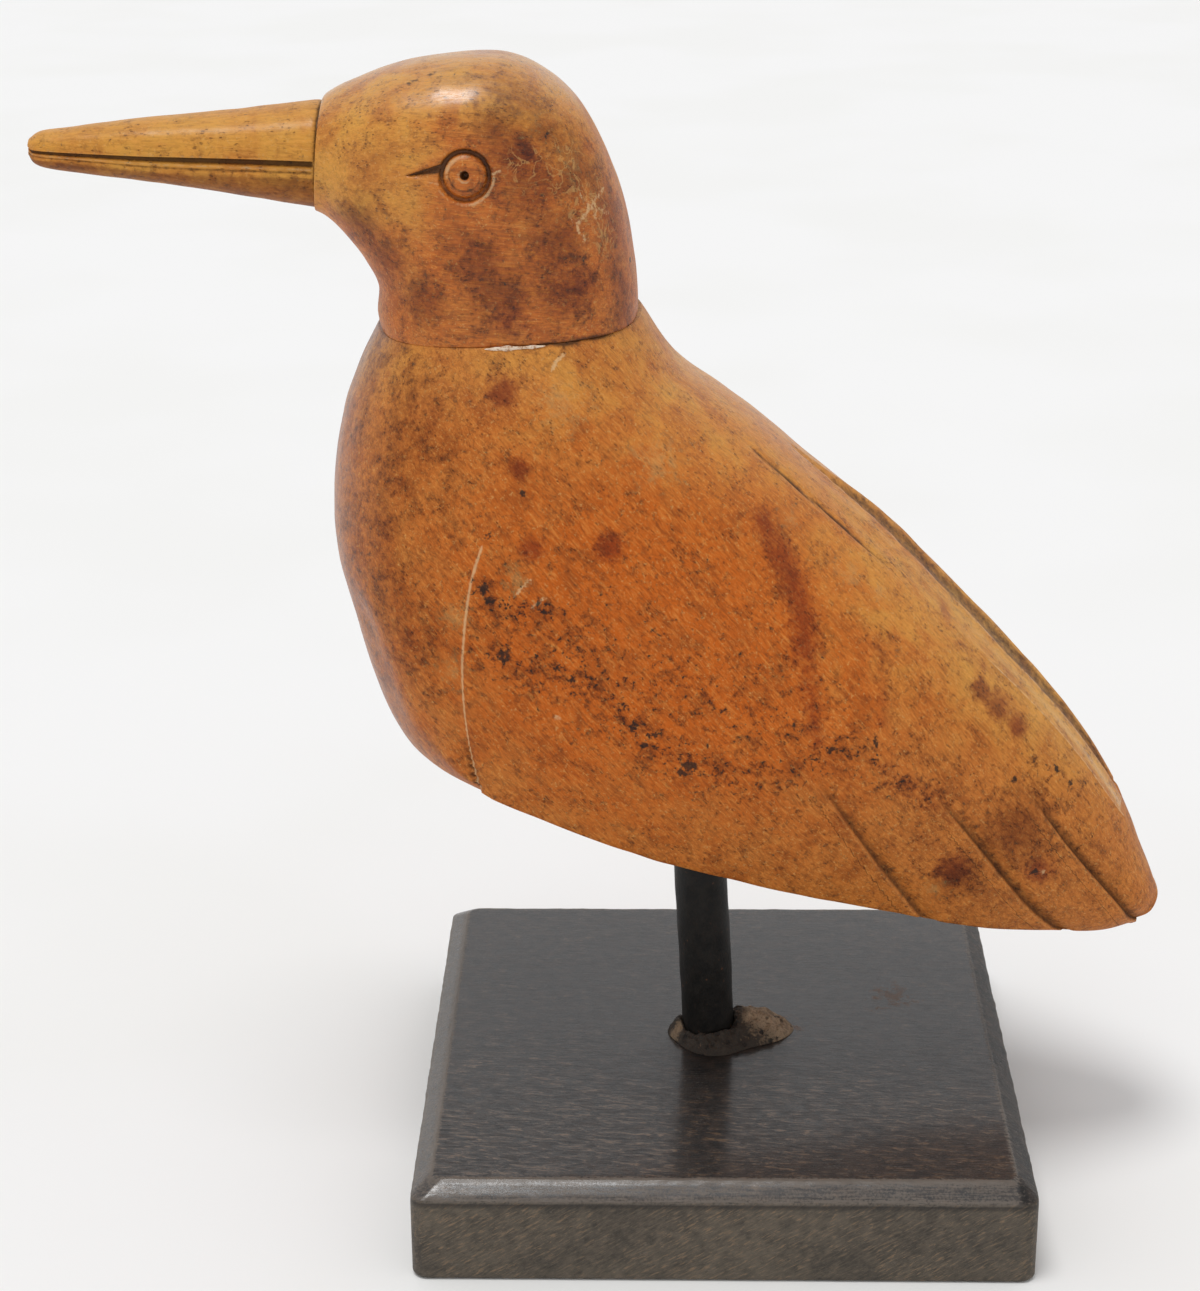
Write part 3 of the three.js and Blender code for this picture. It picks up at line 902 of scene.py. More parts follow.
@dataclass(frozen=True)
class DarkBaseWood:
    """Near black stained wood with a satin sheen, tan flecks along the grain and grey brown wear on its
    edges.
    """

    name: str = "dark_base_wood"
    stain: Colour = srgb(44, 35, 29)
    deep: Colour = srgb(17, 14, 13)
    fleck: Colour = srgb(150, 118, 86)
    worn: Colour = srgb(118, 108, 98)
    dust: Colour = srgb(102, 92, 78)
    scuff: Colour = srgb(124, 92, 66)

    def build(self) -> bpy.types.Material:
        """Makes the material: the top has streaks along the grain, and the sides are dusty.

        Returns:
            The material.
        """
        sheet = NodeSheet(self.name)
        fibres = sheet.noise((3.4, 0.8, 0.9), 5.0, 0.70, 1.0, (0, 0, -7))
        scrape = sheet.noise((5, 0.34, 0.34), 3.0, 0.6, 0.2)
        slant = sheet.noise((2.2, 0.40, 0.34), 4.0, 0.70, 0.5, (0, -32, 0))
        blotch = sheet.noise(14, 4.0, 0.6)
        mottle = sheet.noise(2.4, 4.0, 0.68)
        grit = sheet.noise(0.45, 3.0, 0.65)
        side, near = sheet.stored("side"), sheet.stored("near")
        on_top = 1 - side
        dusty = (slant * 0.5 + mottle * 0.3 + blotch * 0.3).step(0.38, 0.70)
        lines = fibres.step(0.52, 0.64) * on_top * (blotch + mottle - 0.5 + near * 0.25).step(0.45, 0.80)
        flecks = slant.step(0.54, 0.66) * side * blotch.step(0.30, 0.55)
        worn = (sheet.stored("worn") + grit.swing(1.8) + scrape.swing(1.8)).step(0.15, 0.85)
        scuffs = (sheet.stored("scuff") + mottle.swing(2.4) + grit.swing(1.4)).step(0.55, 0.9)
        colour = sheet.layers(
            self.deep,
            (mottle.step(0.35, 0.65), self.stain),
            (side * (dusty * 0.70 + 0.20), self.dust),
            (lines * 0.30, self.fleck),
            (flecks * 0.50, self.fleck),
            (worn * 0.62, self.worn),
            (sheet.stored("shadow") * 0.8, self.deep),
            (scuffs * 0.45, self.scuff),
        )
        dull = (fibres * 0.7 + scrape * 0.3).step(0.60, 0.38) * (near * 0.5 + 0.16)
        sheen = (1 - dull) * (1 - scuffs * 0.6) * (1 - worn * 0.7)
        height = fibres * on_top + scrape * on_top * 0.5 + slant * side * 0.9 + grit * 0.35
        return sheet.finish(
            Base_Color=colour, Roughness=0.5 + side * 0.1, Normal=sheet.bump(height, 0.26),
            Specular_IOR_Level=0.3,
            Coat_Weight=sheen * (0.92 - side.most(sheet.stored("dull")) * 0.75),
            Coat_Roughness=0.17, Coat_IOR=1.62,
        )


@dataclass(frozen=True)
class BlackIron:
    """Black brown iron bar with a satin skin, small pits and a few specks of rust."""

    name: str = "black_iron"
    skin: Colour = srgb(30, 26, 22)
    dark: Colour = srgb(13, 11, 9)
    rust: Colour = srgb(104, 66, 44)

    def build(self) -> bpy.types.Material:
        """Makes the material.

        Returns:
            The material.
        """
        sheet = NodeSheet(self.name)
        mottle = sheet.noise(2.2, 5.0, 0.65)
        grit = sheet.noise(0.5, 3.0, 0.65)
        speck = sheet.cells(1.3).band(0.10, 0.22) * mottle.step(0.50, 0.62)
        colour = sheet.layers(self.dark, (mottle.step(0.36, 0.64), self.skin), (speck * 0.6, self.rust))
        return sheet.finish(
            Base_Color=colour, Roughness=0.40 + mottle * 0.22, Metallic=0.2, Specular_IOR_Level=0.35,
            Normal=sheet.bump(mottle * 0.8 + grit * 0.5, 0.12),
        )


@dataclass(frozen=True)
class RoughFiller:
    """Dull tan filler, stained dark where it meets the rod, with open pores."""

    name: str = "filler"
    tan: Colour = srgb(122, 102, 80)
    stained: Colour = srgb(30, 25, 22)
    pale: Colour = srgb(176, 152, 124)

    def build(self) -> bpy.types.Material:
        """Makes the material.

        Returns:
            The material.
        """
        sheet = NodeSheet(self.name)
        mottle = sheet.noise(1.6, 5.0, 0.7)
        grit = sheet.noise(0.4, 3.0, 0.7)
        pores = sheet.cells(1.5).band(0.18, 0.34) * mottle.step(0.42, 0.56)
        stained = (sheet.stored("stained") * 1.3 + mottle.swing(2.4) + grit.swing(1.6)).step(0.2, 0.9)
        colour = sheet.layers(
            self.tan,
            ((mottle * 0.6 + grit * 0.4).step(0.40, 0.64), self.pale),
            (stained * 0.92, self.stained),
            (pores * 0.85, self.stained),
        )
        normal = sheet.bump(mottle + grit * 0.4 + pores * -1.5, 0.25)
        return sheet.finish(Base_Color=colour, Roughness=0.82, Normal=normal)


@dataclass(frozen=True)
class WhiteGlue:
    """Dried white glue with brown dirt in it."""

    name: str = "white_glue"
    white: Colour = srgb(226, 206, 184)
    dirty: Colour = srgb(166, 118, 78)

    def build(self) -> bpy.types.Material:
        """Makes the material.

        Returns:
            The material.
        """
        sheet = NodeSheet(self.name)
        mottle = sheet.noise(0.8, 4.0, 0.65)
        colour = sheet.layers(self.white, (mottle.step(0.46, 0.66), self.dirty))
        return sheet.finish(Base_Color=colour, Roughness=0.6, Normal=sheet.bump(mottle, 0.1))


@dataclass(frozen=True)
class PaleFloor:
    """Plain pale studio floor."""

    name: str = "pale_floor"
    pale: Colour = srgb(240, 240, 239)
    shade: Colour = srgb(238, 238, 236)

    def build(self) -> bpy.types.Material:
        """Makes the material.

        Returns:
            The material.
        """
        sheet = NodeSheet(self.name)
        cloud = sheet.noise(120, 2.0, 0.5).step(0.4, 0.65)
        colour = sheet.layers(self.pale, (cloud, self.shade))
        return sheet.finish(Base_Color=colour, Roughness=0.75)


# Pieces

def dress(piece: bpy.types.Object, material: bpy.types.Material, slot: Slot, *nodes: str) -> bpy.types.Object:
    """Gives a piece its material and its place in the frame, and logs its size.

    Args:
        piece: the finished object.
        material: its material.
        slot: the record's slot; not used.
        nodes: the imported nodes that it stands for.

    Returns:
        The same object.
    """
    piece.data.materials.append(material)
    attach(piece, "root")
    if nodes:
        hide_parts(*nodes)
    log.info("%s: %d faces, material %s", piece.name, len(piece.data.polygons), material.name)
    return piece


@dataclass(frozen=True)
class Joint:
    """The flat glued joint of the neck, in millimetres.

    nape and throat are points of its plane. A rim falls off by rim_fall within about rim_width of it.
    darkness is how dark the painted shade along the joint is at each x of dark_from.
    """

    nape: tuple[float, float] = (-13.3, 146.8)
    throat: tuple[float, float] = (-54.4, 145.0)
    gap: float = 0.05
    rim_fall: float = 0.09
    rim_width: float = 0.45
    dark_from: tuple = (-54.4, -40.0, -29.0, -27.5, -18.5, -16.5, -13.3)
    darkness: tuple = (0.30, 0.42, 0.50, 1.35, 1.1, 0.55, 0.25)

    def level(self, x: Array) -> Array:
        """Height of the joint's plane, which runs level from side to side, at x."""
        slope = (self.nape[1] - self.throat[1]) / (self.nape[0] - self.throat[0])
        return self.throat[1] + slope * (x - self.throat[0])

    def over(self, points: Array) -> Array:
        """Height of places over the joint's plane."""
        return points[..., 2] / MM - self.level(points[..., 0] / MM)

    def wear_rim(
        self, surface: Surface, away: Array, seed: int, drop: tuple[float, float], width: float,
    ) -> None:
        """Lets a rim fall off a little towards the joint and lays painted shade along it.

        Args:
            surface: the surface that ends at the joint.
            away: distance of its places from the joint.
            seed: seed of the rim's unevenness.
            drop: how far the rim falls, in rim_fall, and how much that varies.
            width: distance over which the painted shade fades.
        """
        points = surface.points
        fall = drop[0] + drop[1] * waves(points, seed, 5, 14)
        surface.relief -= self.rim_fall * fall * np.exp(-away / self.rim_width)
        # Painted shade along the joint, as dark as the darkness table says at each x.
        full = np.interp(points[..., 0] / MM, self.dark_from, self.darkness)
        surface.add("cut", full * (1 + 0.35 * waves(points, seed + 1, 3, 9)) * np.exp(-away / width))


BODY_SECTIONS = (
    Section((-13.3, 146.8), (-54.4, 145.0), 19.3, 0.50, 2.4, 2.4),
    Section((-7.2, 138.2), (-60.4, 132.2), 24.5, 0.50, 2.3, 2.4),
    Section((2.2, 131.3), (-62.4, 117.2), 27.5, 0.52, 2.2, 2.7),
    Section((10.8, 124.6), (-60.7, 103.8), 29.0, 0.54, 2.2, 3.0),
    Section((19.7, 117.1), (-54.2, 81.4), 30.0, 0.56, 2.2, 2.8),
    Section((31.0, 106.7), (-43.8, 71.6), 30.0, 0.58, 2.2, 2.4, 0.7),
    Section((43.3, 94.2), (-15.1, 60.5), 28.5, 0.60, 2.2, 2.4, 1.0),
    Section((55.4, 80.7), (14.4, 51.9), 24.0, 0.60, 2.2, 2.4, 1.0),
    Section((65.1, 67.2), (38.8, 45.2), 18.5, 0.60, 2.2, 2.4, 1.0),
    Section((71.5, 52.6), (59.7, 42.1), 12.5, 0.60, 2.2, 2.4, 0.9),
    Section((73.7, 46.9), (68.2, 41.3), 7.2, 0.54, 2.1, 2.2, 0.5),
)

HEAD_SECTIONS = (
    Section((-13.5, 146.8), (-54.2, 145.0), 19.0, 0.50, 2.6, 2.6),
    Section((-14.4, 154.9), (-54.7, 147.7), 19.0, 0.50, 2.6, 2.6),
    Section((-17.0, 167.4), (-54.5, 151.9), 18.8, 0.50, 2.5, 2.6),
    Section((-23.7, 180.3), (-56.3, 155.6), 18.0, 0.48, 2.5, 2.6),
    Section((-33.9, 186.5), (-58.4, 158.5), 16.5, 0.47, 2.4, 2.5),
    Section((-48.2, 185.7), (-60.6, 161.1), 14.0, 0.48, 2.3, 2.4),
    Section((-57.9, 182.3), (-62.2, 162.2), 10.5),
    Section((-62.0, 180.1), (-63.5, 162.8), 9.2),
)

BEAK_SECTIONS = (
    Section((-62.2, 179.6), (-63.0, 163.3), 8.8),
    Section((-75.9, 178.2), (-76.1, 165.4), 7.4),
    Section((-91.6, 176.8), (-91.2, 167.6), 5.6),
    Section((-102.3, 175.4), (-102.9, 169.2), 4.0),
    Section((-106.0, 174.9), (-106.6, 170.0), 3.0),
    Section((-107.5, 174.0), (-107.7, 171.3), 1.6),
)

BODY_STAINS = (
    Stain("ruddy", (
        (-17.9, 117.1, 4.0), (-34.0, 140.0, 4.4), (-29.6, 116.9, 3.4), (43.9, 85.7, 4.8), (41.2, 88.4, 3.6),
        (46.9, 82.2, 3.4), (51.3, 57.7, 4.4), (-31.6, 129.0, 2.8), (37.0, 60.0, 5.0),
    )),
    Stain("ruddy", ((-5.0, 119.0, 5.0), (24.0, 93.0, 6.0), (-32.0, 128.0, 3.8)), right=True),
    Stain("ruddy", ((5.8, 118.3), (8.9, 112.3), (11.4, 106.4), (12.4, 98.9)), 0.85, 4.6),
    Stain("ruddy", ((12.4, 98.9), (13.1, 91.3), (14.5, 85.1)), 0.62, 3.4),
    Stain("ruddy", ((23.9, 98.9), (24.7, 87.1)), 0.45, 4.0),
    Stain("ruddy", ((24.9, 79.9), (33.1, 73.1)), 0.5, 4.0),
    Stain("soot", ((-37.2, 111.6), (-36.0, 108.5), (-33.5, 107.2), (-26.2, 107.0)), 1.1, 4.2),
    Stain("soot", (
        (-35.2, 100.1), (-29.0, 97.2), (-21.0, 95.8), (-16.0, 90.0), (-10.0, 84.5), (-2.0, 81.2), (5.1, 79.7),
        (11.4, 80.5), (16.1, 83.3), (21.0, 83.4),
    ), 0.85, 8.5),
    Stain("soot", ((21.0, 83.4), (28.0, 77.0), (33.0, 73.5)), 0.7, 5.5),
    Stain("soot", ((50.0, 77.0), (59.0, 70.0)), 0.75, 4.5),
    Stain("soot", ((-30.0, 106.0), (-10.0, 96.0), (8.0, 88.0)), 0.62, 22.0),
    Stain("soot", ((-39.0, 142.0), (-30.0, 126.0), (-25.0, 117.0)), 0.2, 6.0),
    Stain("soot", ((-30.0, 101.0), (-18.0, 99.0), (-2.0, 92.0), (13.0, 88.0)), 0.7, 8.0, right=True),
    Stain("spot", (
        (-34.3, 99.7, 1.8), (-5.5, 81.1, 2.0), (-6.9, 80.3, 1.2), (-14.6, 88.0, 1.1), (-12.6, 85.2, 1.2),
        (-23.8, 96.2, 1.1), (-26.2, 97.8, 1.1), (-15.8, 96.2, 0.9), (-36.2, 118.9, 1.0), (-37.0, 110.5, 1.7),
        (-36.2, 108.8, 1.4), (16.5, 83.5, 1.3), (23.5, 83.8, 0.9), (53.7, 74.1, 1.1), (55.9, 71.4, 0.9),
        (46.5, 74.5, 1.0), (50.5, 57.8, 1.2), (-31.0, 125.3, 0.8), (-11.0, 86.8, 0.9),
    )),
    Stain("spot", (
        (-21.0, 108.0, 1.4), (3.0, 92.0, 1.2), (12.0, 87.0, 1.0), (-33.0, 95.0, 1.1), (30.0, 80.0, 1.2),
    ), right=True),
    Stain("pale", (
        (9.8, 118.1, 4.0), (19.2, 109.1, 5.0), (24.0, 105.5, 4.0), (-25.0, 138.0, 9.0), (-11.0, 129.0, 8.0),
        (34.0, 56.0, 4.0), (-42.0, 106.0, 5.0), (-42.5, 96.0, 5.0), (-32.0, 112.0, 4.0),
    )),
    Stain("shade", ((47.0, 66.0, 12.0), (38.0, 58.0, 8.0))),
    Stain("shade", ((-48.0, 139.0), (-52.0, 125.0), (-53.0, 112.0), (-49.0, 100.0)), 0.62, 16.0),
    Stain("shade", ((-41.0, 137.0), (-43.0, 120.0)), 0.5, 4.0),
    Stain("scratch", ((-24.8, 144.7), (-25.8, 144.0), (-26.5, 142.9)), 1.0, 0.6),
    Stain("scratch", ((-26.1, 89.6, 1.0), (52.0, 57.5, 0.9))),
    Stain("scratch", ((-30.0, 112.0), (-32.5, 109.5)), 0.8, 0.6),
    Stain("scratch", ((-28.0, 109.0), (-30.0, 107.5)), 0.8, 0.6),
)

HEAD_STAINS = (
    Stain("shade", (
        (-31.8, 175.1, 10.5), (-29.8, 170.7, 10.5), (-34.4, 178.0, 8.0), (-34.4, 154.5, 11.0),
        (-23.9, 154.1, 10.0), (-25.4, 161.7, 11.0), (-27.5, 177.5, 7.0), (-46.3, 152.5, 8.0),
        (-23.2, 170.7, 9.0), (-37.2, 158.3, 9.0), (-56.0, 164.0, 8.0), (-52.0, 159.0, 8.0),
    )),
    Stain("shade", ((-16.0, 148.0), (-18.0, 164.0), (-25.0, 176.0), (-33.0, 183.0)), 0.75, 11.0),
    Stain("ruddy", ((-22.0, 154.5, 6.0), (-33.0, 150.0, 6.0), (-30.0, 174.5, 5.0)), 0.6),
    Stain("pale", ((-21.1, 167.6, 6.0), (-20.0, 164.0, 7.0), (-24.0, 173.0, 6.0), (-29.0, 179.0, 5.0)), 0.7),
    Stain("crackle", ((-21.1, 167.6, 8.0), (-24.0, 172.0, 8.0), (-30.0, 173.0, 7.0), (-19.0, 162.0, 7.0))),
    Stain("scratch", ((-22.5, 168.5), (-19.6, 164.0)), 0.75, 0.6),
    Stain("scratch", ((-19.0, 168.0), (-22.5, 164.0)), 0.75, 0.6),
    Stain("scratch", ((-20.5, 166.0), (-18.2, 164.5)), 0.75, 0.6),
    Stain("scratch", ((-23.5, 165.0), (-21.5, 161.5)), 0.75, 0.6),
    Stain("scratch", ((-35.2, 172.0), (-33.8, 172.4)), 0.8, 0.45),
    Stain("cut", ((-48.0, 183.8), (-46.6, 184.3)), 1.2, 0.45),
    Stain("cut", ((-45.0, 184.8), (-43.8, 185.2)), 1.2, 0.5),
    Stain("soot", ((-34.4, 154.5, 12.0), (-30.0, 175.0, 9.0), (-24.0, 160.0, 11.0)), 0.45),
    Stain("spot", ((-27.2, 177.0, 0.8), (-15.0, 156.0, 0.9))),
)


@dataclass
class BirdBody:
    """Breast, back, folded wings and tail, carved from one block. Lines are marks of the side view.

    feathers holds each cut's line, depth and width. channel holds the trough's half width and depth at
    shares of the body's length.
    """

    joint: Joint = field(default_factory=Joint)
    rows: int = 322
    ring: int = 296
    tail_bulge: float = 1.4 * MM
    wing_front: Marks = ((-36.6, 119.1), (-39.3, 110.4), (-40.8, 97.3), (-40.4, 85.0), (-39.0, 76.7))
    wing_back: Marks = ((2.2, 129.0), (19.7, 113.7), (40.2, 94.3), (55.5, 77.3), (67.6, 60.3))
    feathers: tuple = (
        (((47.5, 74.6), (55.4, 62.9), (65.2, 49.8), (68.0, 45.5)), 1.0, 3.4),
        (((32.2, 75.6), (39.1, 66.7), (49.4, 51.9), (52.7, 47.7)), 0.85, 3.0),
        (((12.6, 81.1), (17.4, 74.0), (22.7, 65.5), (30.9, 52.3)), 0.65, 2.4),
    )
    breast_ridge: Marks = ((-57.2, 111.2), (-54.6, 105.2), (-51.5, 97.4), (-49.6, 88.0), (-47.6, 81.8))
    channel: Marks = (
        (0.3, 0.5, 0.2), (0.38, 2.0, 0.8), (0.48, 4.4, 1.5),
        (0.6, 5.2, 1.7), (0.72, 5.0, 1.6), (0.82, 4.0, 1.2),
    )

    def build(self, wood: bpy.types.Material) -> bpy.types.Object:
        """Makes the body.

        Args:
            wood: its finish.

        Returns:
            The piece.
        """
        form = CarvedForm(BODY_SECTIONS)
        shares = form.even_shares(self.rows, lambda t: 1 + 3 * hump(t, 0.015))
        angles = form.even_angles(self.ring, self._fineness)
        grid = form.points(shares[:, None], angles[None])
        rings, top = dome(grid[-1], grid[-6], self.tail_bulge, (12, 24, 36, 48, 60, 72, 82))
        surface = Surface.on(np.concatenate([grid, rings]))
        carver = FlankCarver(form, surface, seed=11)
        surface.swell(0.16, 3, 16, 40)
        surface.swell(0.035, 4, 4, 9)
        self._wing_front(surface, carver)
        self._wing_back(surface, carver)
        self._feathers(surface, carver)
        self._channel(surface, np.concatenate([shares, np.ones(len(rings))]))
        self._breast(surface, carver)
        self.joint.wear_rim(surface, -self.joint.over(surface.points), 21, (0.7, 0.3), 0.42)
        carver.stain(BODY_STAINS)
        self._patina_and_painted_light(surface)
        return dress(surface.piece("bird_body_carved", top), wood, Slot.WOOD, "bird_body")

    @staticmethod
    def _fineness(angle: Array) -> Array:
        """Fewer points under the belly and more over the flanks."""
        return 0.4 + 0.6 * ease(0.2 * np.pi, 0.4 * np.pi, np.abs(angle - np.pi))

    def _wing_front(self, surface: Surface, carver: FlankCarver) -> None:
        """The wing's front edge: a low step whose foot is cut deeper near the belly.

        Args:
            surface: what is carved.
            carver: measures the surface's places from lines on the flanks.
        """
        found = carver.both(carver.line(self.wing_front, 5), 14)
        over = ease(-0.28, 0.28, found.side)
        wing = 0.30 * (1 - ease(0, 9, -found.side))
        breast = -0.34 * (1 - ease(0, 8, found.side))
        surface.relief += ease(0.0, 0.22, found.share) * ((1 - over) * wing + over * breast)
        foot = ease(0.62, 0.9, found.share)
        surface.relief -= 0.5 * foot * hump(found.side - 0.5, 0.55)
        surface.add("cut", foot * hump(found.side - 0.7, 0.5) * 1.1)
        # Pale line along the wing's front edge: wear and painted highlight.
        surface.draw_edge(found, 0.97 * ease(-0.01, 0.05, found.share))

    def _wing_back(self, surface: Surface, carver: FlankCarver) -> None:
        """The line along the back: a thin cut that fades into a fine ridge, with a shallow hollow above.

        Args:
            surface: what is carved.
            carver: measures the surface's places from lines on the flanks.
        """
        found = carver.both(carver.line(self.wing_back), 9)
        cut = ease(0.0, 0.05, found.share) * (1 - ease(0.22, 0.42, found.share))
        ridge = ease(0.42, 0.6, found.share) * (1 - ease(0.97, 1.0, found.share))
        fade = ease(0.1, 0.3, found.share) * (1 - ease(0.9, 1.0, found.share))
        surface.relief -= 0.42 * cut * hump(found.side, 0.42)
        surface.relief += 0.16 * ridge * hump(found.side, 0.5)
        surface.relief -= 0.28 * fade * hump(found.side + 3.2, 2.2)
        surface.add("cut", cut * hump(found.side, 0.34) * 1.1)
        # Pale line along the ridge: wear and painted highlight.
        surface.draw_edge(found, 0.9 * ridge)

    def _feathers(self, surface: Surface, carver: FlankCarver) -> None:
        """Three feather cuts on each wing: a steep wall on the lower left and a floor that rises slowly.

        groove tells the finish where a place lies across the cut: -1 to 0 over the floor, then up the wall.
        """
        for marks, depth, wide in self.feathers:
            found = carver.both(carver.line(marks, 6), 6)
            full = 0.12 + 0.88 * ease(0.0, 0.45, found.share)
            reach = wide * (0.5 + 0.5 * full)
            on_wall = found.side > 0
            steep = np.clip(1 - found.side / 0.5, 0, 1)
            gentle = np.clip(1 + found.side / reach, 0, 1) ** 1.5
            surface.relief -= depth * full * ease(0.0, 0.03, found.share) * np.where(on_wall, steep, gentle)
            floor = np.clip(found.side / (0.6 * reach), -1, 0)
            across = np.where(on_wall, np.clip(found.side / 0.55, 0, 2.5), floor)
            surface.fields["groove"] = np.where(found.away < 2.4, across, surface.fields["groove"])
            strong = ease(0.0, 0.3, found.share) * depth**0.5
            surface.add("depth", np.where(found.away < 4, strong, 0))

    def _channel(self, surface: Surface, shares: Array) -> None:
        """The trough down the back between the wings' crests: depth times 1 - (y / half)^3.

        Args:
            surface: what is carved.
            shares: share along the body of the surface's rows.
        """
        table = spline(np.array(self.channel), np.linspace(0, 1, 200))
        half = np.interp(shares, table[:, 0], table[:, 1], left=0.05, right=0.05)[:, None]
        depth = np.interp(shares, table[:, 0], table[:, 2], left=0.0, right=0.0)
        depth = (depth * (1 - ease(0.815, 0.835, shares)))[:, None]
        y = np.abs(surface.points[..., 1]) / MM
        on_back = surface.normals[..., 2] > 0
        trough = (1 - np.clip(y / half, 0, 1) ** 3) * on_back
        full = ease(0.1, 1.2, depth)
        surface.relief -= depth * trough
        surface.relief += 0.28 * hump(y - half - 0.3, 0.9) * on_back * full
        # Darker colour in the trough.
        surface.add("cut", 0.66 * np.minimum(1, 3.5 * trough) * full)
        surface.add("polish", 0.8 * hump(y - half - 1.6, 1.6) * on_back * full)
        # Painted highlight on the outer side of each crest.
        surface.add("light", hump(y - half - 2.0, 2.4) * on_back * full)

    def _breast(self, surface: Surface, carver: FlankCarver) -> None:
        """A soft facet edge down the side of the breast.

        Args:
            surface: what is carved.
            carver: measures the surface's places from lines on the flanks.
        """
        found = carver.both(carver.line(self.breast_ridge), 14)
        fade = ease(0.0, 0.25, found.share) * (1 - ease(0.85, 1.0, found.share))
        surface.relief += fade * (0.32 * hump(found.side, 2.4) - 0.34 * hump(found.side - 5, 3.4))

    @staticmethod
    def _patina_and_painted_light(surface: Surface) -> None:
        """Painted light on faces that look up, lighter wood over the upper wing, a warm glow on the flank,
        painted shade on the breast where it faces forward, and polish where hands reach.

        Args:
            surface: what is carved.
        """
        x, _, z = np.moveaxis(surface.points / MM, -1, 0)
        forward, up = surface.normals[..., 0], surface.normals[..., 2]
        # Painted shade on the breast where it faces forward.
        surface.add("shade", 0.55 * ease(-0.3, -0.85, forward))
        # Painted light: lighter on faces that look up.
        surface.add("light", 0.85 * ease(0.05, 0.8, up))
        surface.add("light", 0.55 * ease(0, 20, x) * ease(85, 105, z))
        surface.add("glow", hump(np.hypot((x + 8) / 36, (z - 103) / 30), 1.2))
        surface.add("polish", 0.5 * ease(0.3, 0.85, up))
        surface.add("polish", 0.6 * ease(-0.4, -0.9, forward))


@dataclass
class Eye:
    """The carved eye: a drilled pupil in a flat disc with a bevel, a ring groove and a pointed corner.

    Places and radii are in millimetres. levels are the depths at radii, from the pupil's floor outwards.
    """

    place: tuple[float, float] = (-39.3, 171.7)
    pupil: float = 0.6
    bevel: float = 3.2
    groove: float = 4.05
    radii: tuple = (0, 0.45, 0.62, 0.75, 2.15, 2.3, 3.15, 3.35, 3.85, 4.15, 4.6, 5.4)
    levels: tuple = (-1.5, -1.4, -0.15, 0.0, 0.02, -0.04, -0.5, -0.95, -0.95, 0.03, 0.07, 0.0)
    corner: tuple[float, float] = (-48.4, 171.4)
    corner_top: tuple[float, float] = (-43.0, 173.3)
    corner_low: tuple[float, float] = (-43.2, 170.0)
    corner_depth: float = 0.85

    def carve(self, surface: Surface, carver: FlankCarver) -> None:
        """Adds the eye's relief, painted shade and painted highlights to both sides of the head.

        The depth at a place depends on its distance r from the eye's middle, measured along the surface.
        In the corner it grows from the lower edge to the upper one.

        Args:
            surface: what is carved.
            carver: measures the surface's places from lines on the flanks.
        """
        middle = carver.form.place(*(np.array(self.place) * MM))[0]
        gap = (carver.folded - middle) / MM
        direct = np.linalg.norm(gap, axis=-1)
        off_surface = np.sum(gap * carver.normals, axis=-1, keepdims=True)
        r = np.linalg.norm(gap - off_surface * carver.normals, axis=-1)
        r = np.where(direct < 9, r, FAR)
        ring = np.interp(r, self.radii, self.levels)
        upper = self._beside(carver.folded / MM, self.corner_top)
        lower = -self._beside(carver.folded / MM, self.corner_low)
        across = np.clip(lower / np.maximum(upper + lower, 1e-6), 0, 1)
        wedge = ease(-0.10, 0.12, upper) * ease(-0.05, 0.3, lower) * (gap[..., 0] < -0.8) * (direct < 12)
        corner = -self.corner_depth * wedge * across**1.2
        deeper = np.minimum(ring, corner) + np.maximum(ring, 0)
        surface.relief += np.where(r < self.groove - 0.2, ring, deeper)

        above = ease(-1.6, 1.6, gap[..., 2])
        leading = ease(1.5, -1.5, gap[..., 0])
        past_bevel = wedge * (r > self.bevel)
        # Painted shade in the ring groove, darker at its top, and a dark pupil.
        surface.add("cut", np.interp(r, [3.1, 3.45, 3.85, 4.1], [0, 1, 1, 0]) * (0.65 + 0.6 * above))
        surface.add("cut", 1.6 * ease(self.pupil + 0.22, self.pupil - 0.1, r))
        # Painted shade on the corner's upper wall, and a thin dark line at its lower edge.
        surface.add("cut", past_bevel * ease(0.45, 0.8, across) * 1.3)
        surface.add("cut", past_bevel * ease(0.16, 0.06, across) * 0.55)
        # Painted shade round the inner disc and on the bevel's lower slope.
        surface.add("cut", 0.6 * hump(r - 2.3, 0.25) * (1.1 - 0.5 * above))
        surface.add("cut", 0.55 * hump(r - 2.9, 0.5) * (1 - above) * (1 - leading))
        # Painted highlights on the bevel's upper slope, the groove's lower outer edge, the pupil's lower lip
        # and the corner's lower wall.
        surface.add("worn", 0.8 * hump(r - 2.75, 0.45) * (0.3 + 0.7 * above * leading))
        surface.add("worn", 0.8 * hump(r - 4.35, 0.3) * (1 - 0.8 * above) * (1 - 0.5 * leading))
        surface.add("worn", 0.7 * hump(r - 1.0, 0.25) * (1 - above))
        surface.add("worn", 0.6 * wedge * (r > self.groove) * ease(0.3, 0.08, across))

    def _beside(self, places: Array, end: tuple[float, float]) -> Array:
        """Signed distance of places below the line from the corner's point to end in the side view.

        Args:
            places: points in metres.
            end: the line's far end in millimetres.

        Returns:
            The distances in millimetres.
        """
        x, z = self.corner
        dx, dz = end[0] - x, end[1] - z
        return (dz * (places[..., 0] - x) - dx * (places[..., 2] - z)) / math.hypot(dx, dz)


